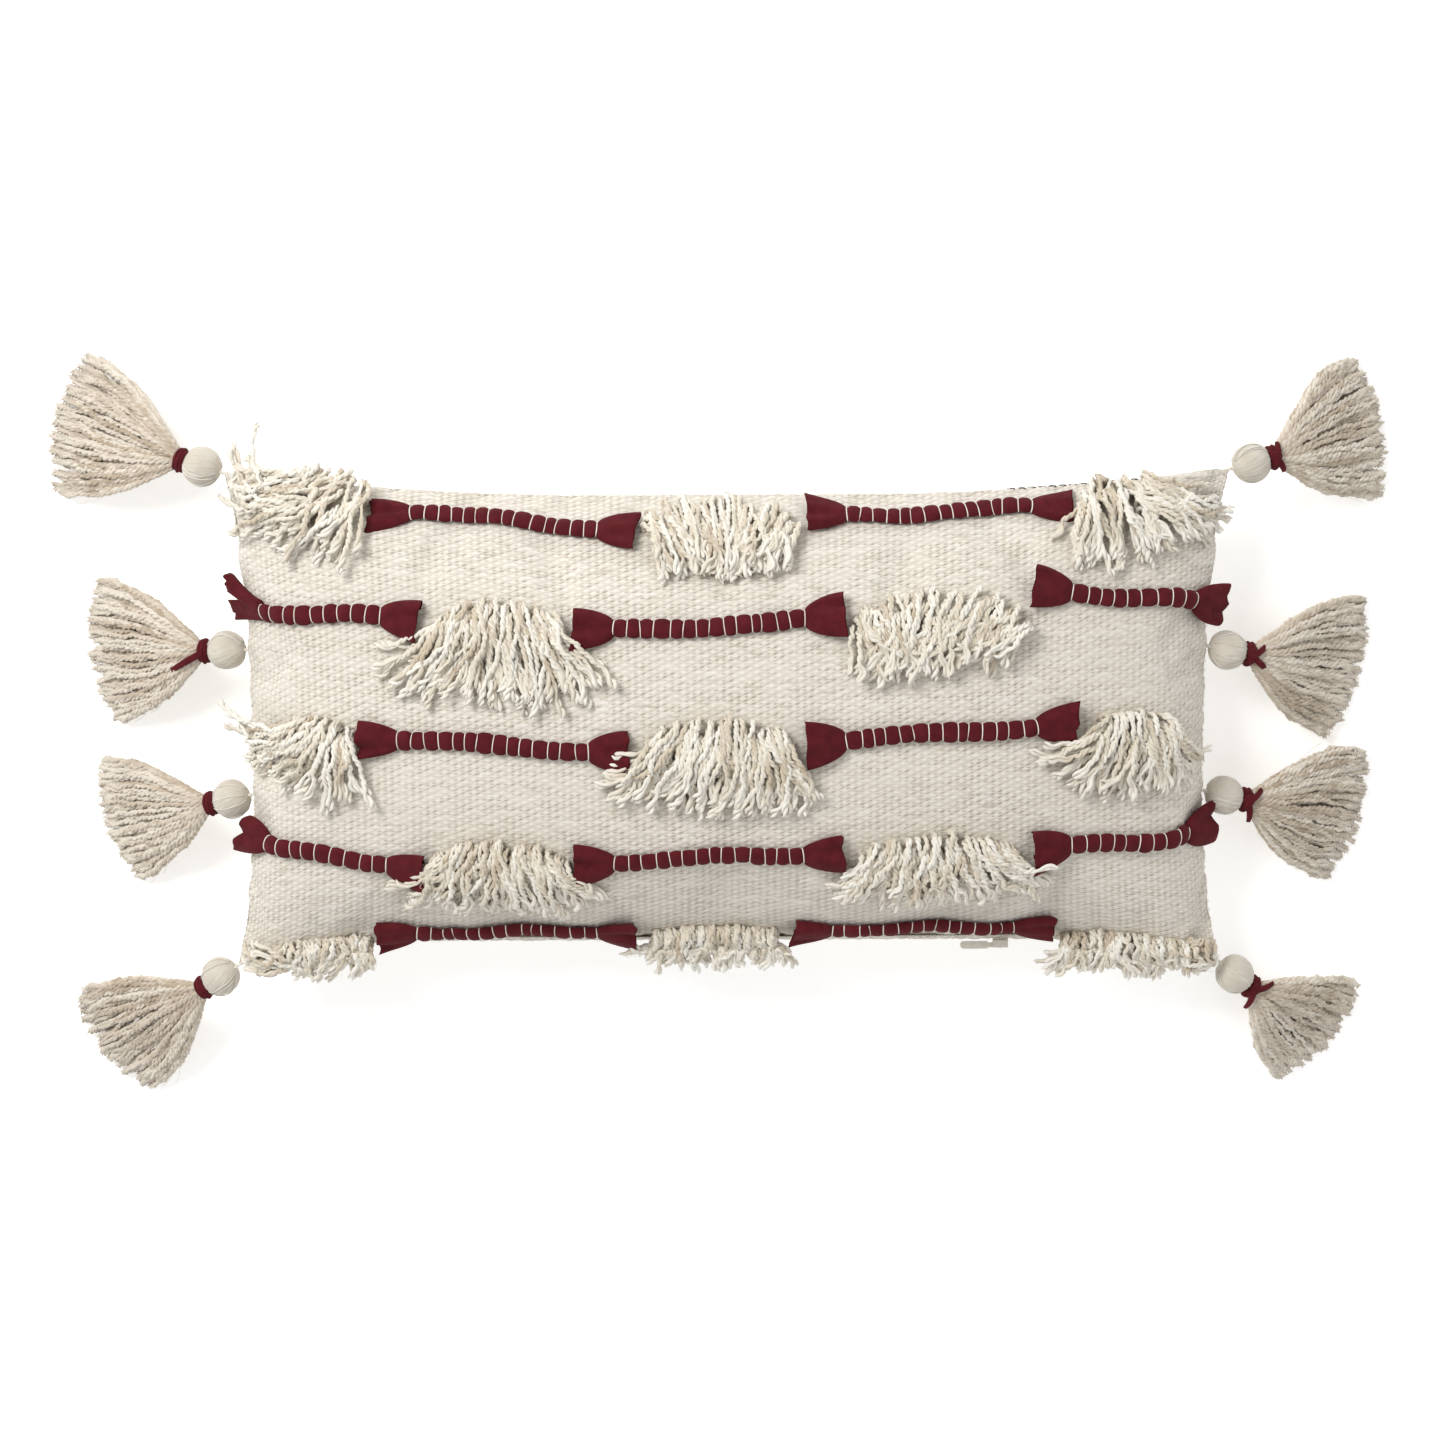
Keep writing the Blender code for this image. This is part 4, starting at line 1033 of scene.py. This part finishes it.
def make_band(tassel, material):
    """Jersey wound round the neck; on the right side it ends in a knot with two tails."""
    rng = tassel.rng
    stations, sides = 26, 40
    turn = np.arange(sides) * 2 * pi / sides
    along = np.linspace(0, BAND_LENGTH, stations)[:, None]
    windings = 2.0 if tassel.right else 2.6
    phase = windings * pi * along / BAND_LENGTH + turn / 2
    groove = 1 - 0.30 * np.abs(np.cos(phase)) ** 6
    ends = np.sin(pi * np.clip(along / BAND_LENGTH, 0.04, 0.96)) ** 0.35
    ripple = 0.0002 * np.cos(5 * turn + 9 * along / BAND_LENGTH)
    radius = NECK_RADIUS + BAND_WALL * BAND_SWELL * groove * ends + ripple
    start = tassel.head + tassel.forward * (tassel.neck + 0.0003)
    loops = [tassel.lay(start, along, radius * np.cos(turn), radius * np.sin(turn))[:, ::-1]]
    if tassel.right:
        loops.append(knot_rings(tassel, start))
    band = ring_shell(tassel.name + "_wrap", loops, material)
    tassel.own(band, "_band", slot="maroon_jersey")
    if not tassel.right and tassel.name != "tassel_left_2":
        return
    tails = Tubes()
    middle = start + tassel.forward * BAND_LENGTH / 2 + tassel.up * (NECK_RADIUS + BAND_WALL)
    for sign in (-1, 1) if tassel.right else (1,):
        s = np.linspace(0, 1, 16)
        reach = rng.uniform(0.009, 0.014) if tassel.right else 0.024
        turn_out = sign * rng.uniform(0.5, 1.3) if tassel.right else 0.45
        lead = tassel.forward * cos(turn_out) + Y_AXIS * sin(turn_out)
        curl = tassel.up * (0.0012 * np.sin(pi * s) - 0.004 * s**2)[:, None]
        path = middle + lead * (reach * s)[:, None] + curl
        half_width = 0.0019 * (1.05 - 0.35 * s**3)
        tails.add(tassel.world(path)[None], half_width, 10, flat=0.35, tone=[0.5])
    tassel.own(tails.build(tassel.name + "_tails", material), slot="maroon_jersey")


def knot_rings(tassel, start):
    """The knot: a squashed, folded lump on top of the band."""
    stations, sides = 14, 24
    polar = np.linspace(0.05, pi - 0.05, stations)[:, None]
    turn = np.arange(sides) * 2 * pi / sides
    lump = 1 + 0.16 * np.cos(2 * turn + 3 * polar) + 0.08 * np.cos(5 * turn)
    centre = start + tassel.forward * BAND_LENGTH / 2 + tassel.up * (NECK_RADIUS + 0.6 * BAND_WALL)
    ahead, across, over = KNOT_HALF_SIZE
    return tassel.lay(
        centre,
        ahead * lump * np.sin(polar) * np.cos(turn),
        -across * np.cos(polar) + 0 * turn,
        over * lump * np.sin(polar) * np.sin(turn),
    )


def make_hanger(tassel, material):
    """Two yarns from inside the side seam to the ball."""
    s = np.linspace(0, 1, 12)
    path = np.stack([-0.0035 + 0.0062 * s, 0 * s, -0.0006 * s], -1)
    tubes = Tubes()
    radius = HANGER_RADIUS / 2
    for phase in (0.0, pi):
        turn = (7 * s + phase)[:, None]
        coil = radius * (np.cos(turn) * Y_AXIS + np.sin(turn) * Z_AXIS)
        tubes.add(tassel.world(path + coil)[None], radius, 8, tone=[0.4])
    tassel.own(tubes.build(tassel.name + "_loop", material), "_hanger", body="cover")


# ---------------------------------------------------------- seam and zipper


def seam_point(place):
    """A point of the seam line at a place along its round, from 0 to 1."""
    side = int(place * 4) % 4
    share = 2 * (place * 4 - int(place * 4)) - 1
    angle = np.arcsin(share)
    a, b = {
        0: (QUARTER, -angle),
        1: (-angle, -QUARTER),
        2: (-QUARTER, angle),
        3: (angle, QUARTER),
    }[side]
    return crowned(np.asarray(a), np.asarray(b))


def make_stitches(name, stretch, material, slot):
    """Short stitches that join face and back across the seam, on a stretch of its round."""
    first, last, spacing, radius, lean = stretch
    tubes = Tubes()
    places = first + (last - first) * np.arange(STITCH_SAMPLES + 1) / STITCH_SAMPLES
    ends = np.array([seam_point(place) for place in places])
    lengths = np.concatenate([[0], np.cumsum(np.linalg.norm(np.diff(ends, axis=0), axis=1))])
    middle = Z_AXIS * SEAM_HEIGHT
    for start in np.arange(0, lengths[-1], spacing):
        here = np.array([np.interp(start, lengths, ends[:, k]) for k in range(3)])
        near = np.array([np.interp(start + lean, lengths, ends[:, k]) for k in range(3)])
        out = unit((here - middle) * (1, 1, 0))
        s = np.linspace(-1, 1, 7)[:, None]
        depth = STITCH_BULGE * (1 - s**2) - SEAM_FOLD * 0.7
        path = here + (near - here) * s / 2 + Z_AXIS * STITCH_RISE * s + out * depth
        tubes.add(path[None], radius, 5, tone=[0.3])
    hand_over(tubes.build(name, material), "cover", slot)


def make_zipper_teeth(material):
    """Each row of teeth is a nylon coil sewn along its tape."""
    for name, side in (("zipper_teeth_front", 1), ("zipper_teeth_back", -1)):
        low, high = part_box(name)
        pitch, steps = 0.0016, 9
        turns = int((high.x - low.x) / pitch)
        s = np.linspace(0, 1, turns * steps + 1)
        turn = 2 * pi * turns * s * side
        radius = min(high.y - low.y, high.z - low.z) / 2 - 0.0002
        path = np.stack(
            [
                low.x + (high.x - low.x) * s,
                (low.y + high.y) / 2 + radius * np.cos(turn),
                (low.z + high.z) / 2 + radius * np.sin(turn),
            ],
            -1,
        )
        tubes = Tubes()
        tubes.add(path[None], 0.00022, 5, tone=[0.5])
        hand_over(tubes.build(name + "_coil", material), "cover", "zipper_nylon", name)


# --------------------------------------------------------------- materials


class Shader:
    """A Principled material, with short calls for its nodes."""

    def __init__(self, name, **sockets):
        self.material = bpy.data.materials.new(name)
        self.material.use_nodes = True
        self.tree = self.material.node_tree
        self.surface = self.tree.nodes["Principled BSDF"]
        for key, value in sockets.items():
            self.surface.inputs[key.replace("_", " ").title()].default_value = value

    def node(self, kind, inputs=None, **settings):
        made = self.tree.nodes.new(kind)
        for key, value in settings.items():
            setattr(made, key, value)
        for key, value in (inputs or {}).items():
            self.put(value, made.inputs[key])
        return made

    def put(self, value, socket):
        if isinstance(value, bpy.types.NodeSocket):
            self.tree.links.new(value, socket)
        else:
            socket.default_value = value

    def places(self):
        return self.node("ShaderNodeTexCoord").outputs["Object"]

    def attribute(self, name):
        return self.node("ShaderNodeAttribute", attribute_name=name)

    def noise(self, scale, vector=None, detail=3.0):
        inputs = {"Scale": scale, "Detail": detail, "Vector": vector or self.places()}
        return self.node("ShaderNodeTexNoise", inputs).outputs["Fac"]

    def stretched(self, scale):
        inputs = {"Vector": self.places(), "Scale": scale}
        return self.node("ShaderNodeMapping", inputs).outputs["Vector"]

    def ramp(self, value, *stops):
        made = self.node("ShaderNodeValToRGB", {"Fac": value})
        elements = made.color_ramp.elements
        while len(elements) < len(stops):
            elements.new(0.5)
        for element, (place, colour) in zip(elements, stops):
            element.position = place
            element.color = (*colour, 1.0)
        return made.outputs["Color"]

    def share(self, value, *stops):
        """A grey ramp, for the share of a mix."""
        return self.ramp(value, *((place, (grey, grey, grey)) for place, grey in stops))

    def mix(self, share, first, second):
        made = self.node("ShaderNodeMix", data_type="RGBA")
        for key, value in ((0, share), (6, first), (7, second)):
            if isinstance(value, tuple):
                value = (*value, 1.0)
            self.put(value, made.inputs[key])
        return made.outputs[2]

    def maths(self, operation, first, second=0.5):
        return self.node("ShaderNodeMath", {0: first, 1: second}, operation=operation).outputs[0]

    def bump(self, height, strength, distance):
        made = self.node("ShaderNodeBump", {"Height": height, "Strength": strength, "Distance": distance})
        self.put(made.outputs["Normal"], self.surface.inputs["Normal"])

    def colour(self, value):
        self.put(value, self.surface.inputs["Base Color"])


def woven_material():
    """Undyed cotton: pale floats, tan shadows in the gaps, and scattered darker flecks."""
    s = Shader("woven_cotton", roughness=0.92, sheen_weight=0.20, sheen_roughness=0.5)
    height = s.attribute("weave").outputs["Fac"]
    grain = s.attribute("grain").outputs["Fac"]
    gap, slope, top = (0.29, 0.245, 0.185), (0.66, 0.61, 0.53), (0.84, 0.81, 0.755)
    cloth = s.ramp(height, (0.06, gap), (0.36, slope), (0.85, top))
    streak = s.share(s.noise(1.0, s.stretched((55, 420, 200))), (0.55, 0.0), (0.72, 0.45))
    cloth = s.mix(streak, cloth, (0.62, 0.57, 0.49))
    fleck = s.share(grain, (0.93, 0.0), (0.98, 0.6))
    cloth = s.mix(fleck, cloth, (0.48, 0.42, 0.34))
    pale = s.share(grain, (0.0, 0.5), (0.15, 0.0))
    cloth = s.mix(pale, cloth, (0.88, 0.86, 0.82))
    patch = s.share(s.noise(9.0), (0.40, 0.0), (0.70, 0.3))
    cloth = s.mix(patch, cloth, (0.72, 0.68, 0.60))
    s.colour(cloth)
    s.bump(s.noise(1500.0, s.stretched((0.5, 1.2, 1.0)), 4.0), 0.55, 0.0005)
    return s.material


def jersey_material():
    """Wine-red jersey, matt, with a fine noisy bump and a soft bloom on its folds."""
    s = Shader("maroon_jersey", roughness=0.9, sheen_weight=0.07, sheen_roughness=0.5)
    s.surface.inputs["Specular IOR Level"].default_value = 0.2
    s.surface.inputs["Sheen Tint"].default_value = (0.9, 0.35, 0.35, 1.0)
    tone = s.noise(160.0)
    s.colour(s.ramp(tone, (0.30, (0.070, 0.0048, 0.0085)), (0.70, (0.106, 0.0090, 0.0135))))
    s.bump(s.maths("ADD", s.noise(2600.0), s.noise(420.0)), 0.45, 0.0006)
    return s.material


def yarn_material(name, dark, middle, light):
    """Loosely twisted cotton: each strand has its own tone, with painted shade at its root, and it is paler
    at its end.
    """
    s = Shader(name, roughness=0.95, sheen_weight=0.25, sheen_roughness=0.5)
    split = s.node("ShaderNodeSeparateXYZ", {"Vector": s.attribute("strand").outputs["Vector"]})
    own = s.maths("MULTIPLY", split.outputs["Z"], 0.55)
    patch = s.maths("MULTIPLY", s.noise(130.0), 0.55)
    tone = s.ramp(s.maths("ADD", own, patch), (0.22, dark), (0.48, middle), (0.80, light))
    # painted shade: each strand darkens towards its root, where the strands around it shade it
    root = s.share(split.outputs["X"], (0.0, 0.35), (0.25, 0.0))
    tone = s.mix(root, tone, dark)
    end = s.share(split.outputs["X"], (0.70, 0.0), (1.0, 0.6))
    tone = s.mix(end, tone, light)
    s.colour(tone)
    s.bump(s.noise(2200.0), 0.5, 0.0005)
    return s.material


def plain_material(name, dark, light, scale, strength, **sockets):
    """A small part's finish: two close tones and a fine texture."""
    s = Shader(name, **sockets)
    s.colour(s.ramp(s.noise(scale), (0.35, dark), (0.65, light)))
    s.bump(s.noise(scale * 6), strength, 0.0003)
    return s.material


def tape_material():
    """Twill tape: fine slanting ribs."""
    s = Shader("zipper_tape", roughness=0.85, sheen_weight=0.2)
    ribs = s.node(
        "ShaderNodeTexWave",
        {"Scale": 300.0, "Distortion": 0.4, "Vector": s.places()},
        wave_type="BANDS",
        bands_direction="DIAGONAL",
    ).outputs["Fac"]
    s.colour(s.ramp(ribs, (0.2, (0.50, 0.46, 0.38)), (0.8, (0.72, 0.69, 0.61))))
    s.bump(ribs, 0.5, 0.0003)
    return s.material


# ------------------------------------------------------------------- stage


def make_stage():
    """A pale floor, soft light from the upper left, and the camera."""
    scene = bpy.context.scene
    floor = Shader("studio_floor", roughness=0.9)
    floor.surface.inputs["Base Color"].default_value = (0.97, 0.97, 0.97, 1.0)
    floor.surface.inputs["Emission Color"].default_value = (1.0, 1.0, 1.0, 1.0)
    floor.surface.inputs["Emission Strength"].default_value = FLOOR_GLOW
    corners = np.array([(-1, -1, 0), (-1, 1, 0), (1, 1, 0), (1, -1, 0)]) * FLOOR_HALF_SIZE
    corners[:, 2] = -FLOOR_DEPTH
    ground = make_object("studio_floor", corners, [np.array([[0, 3, 2, 1]])], floor.material)

    world = bpy.data.worlds.new("studio")
    world.use_nodes = True
    backdrop = world.node_tree.nodes["Background"]
    backdrop.inputs["Color"].default_value = (1.0, 0.995, 0.985, 1.0)
    backdrop.inputs["Strength"].default_value = WORLD_LIGHT
    scene.world = world
    scene.view_settings.view_transform = "Standard"
    scene.view_settings.look = "None"

    for name, (place, size, power, colour) in LIGHTS.items():
        add_light(name, place, size, power, colour)
    add_camera()


def add_light(name, place, size, power, colour):
    light = bpy.data.lights.new(name, "AREA")
    light.shape = "DISK"
    light.size = size
    light.energy = power
    light.color = colour
    obj = bpy.data.objects.new(name, light)
    obj.location = place
    obj.rotation_mode = "QUATERNION"
    obj.rotation_quaternion = (-Vector(place)).to_track_quat("-Z", "Y")
    bpy.context.scene.collection.objects.link(obj)


def add_camera():
    camera = bpy.data.cameras.new("camera")
    camera.lens = CAMERA_LENS
    camera.sensor_width = 36.0
    camera.clip_end = 20.0
    view = bpy.data.objects.new("camera", camera)
    turn = Matrix.Rotation(-CAMERA_TILT, 4, "X") @ Matrix.Rotation(CAMERA_ROLL, 4, "Z")
    away = Vector((0.0, sin(CAMERA_TILT), cos(CAMERA_TILT)))
    aim = Vector((0.0, 0.0, SEAM_HEIGHT)) + turn.to_3x3() @ Vector((*CAMERA_AIM, 0.0))
    view.matrix_world = Matrix.Translation(aim + away * CAMERA_DISTANCE) @ turn
    bpy.context.scene.collection.objects.link(view)
    bpy.context.scene.camera = view


# -------------------------------------------------------------------- build

FACE_MOVES, BACK_MOVES = simulate()

woven = woven_material()
jersey = jersey_material()
tuft_yarn, tassel_yarn, head_cotton, tie_cotton = (
    yarn_material(name, *tones) for name, tones in YARN_TONES.items()
)
dark_thread = plain_material("dark_thread", (0.03, 0.03, 0.04), (0.07, 0.06, 0.07), 300.0, 0.3, roughness=0.8)

for cloth, node in ((make_face_cloth(woven), "front_panel"), (make_back_cloth(woven), "back_panel")):
    hand_over(cloth, "cover", "woven_cotton", node)

make_insert(
    plain_material("ticking", (0.74, 0.73, 0.69), (0.82, 0.81, 0.77), 220.0, 0.4, roughness=0.85),
    plain_material("polyester_fibre", (0.80, 0.80, 0.79), (0.90, 0.90, 0.89), 60.0, 0.8, roughness=0.95),
)

cord_ties = Tubes()
for cord_name in CORD_RISES:
    make_cord(cord_name, jersey, cord_ties)
hand_over(cord_ties.build("cord_ties", tie_cotton), "cover", "cotton_yarn")

for tuft_name in TUFTS:
    make_tuft(tuft_name, tuft_yarn)

for tassel_name in TASSELS:
    tassel = Tassel(tassel_name)
    make_skirt(tassel, tassel_yarn)
    make_head(tassel, head_cotton)
    make_band(tassel, jersey)
    make_hanger(tassel, tie_cotton)

make_stitches("seam_stitches", SEAM_STITCHES, tie_cotton, "cotton_yarn")
make_stitches("dark_stitches_top", DARK_STITCHES_TOP, dark_thread, "maroon_jersey")
make_stitches("dark_stitches_side", DARK_STITCHES_SIDE, dark_thread, "maroon_jersey")
make_zipper_teeth(
    plain_material("zipper_nylon", (0.66, 0.63, 0.55), (0.76, 0.73, 0.66), 400.0, 0.2, roughness=0.45)
)

metal = plain_material("zipper_metal", (0.68, 0.65, 0.56), (0.76, 0.73, 0.64), 500.0, 0.15, roughness=0.40)
tape = tape_material()
for node_name, finish in (
    ("zipper_slider", metal),
    ("zipper_pull", metal),
    ("zipper_tape_front", tape),
    ("zipper_tape_back", tape),
):
    node = frame["nodes"][node_name]
    node.data.materials.clear()
    node.data.materials.append(finish)

make_stage()
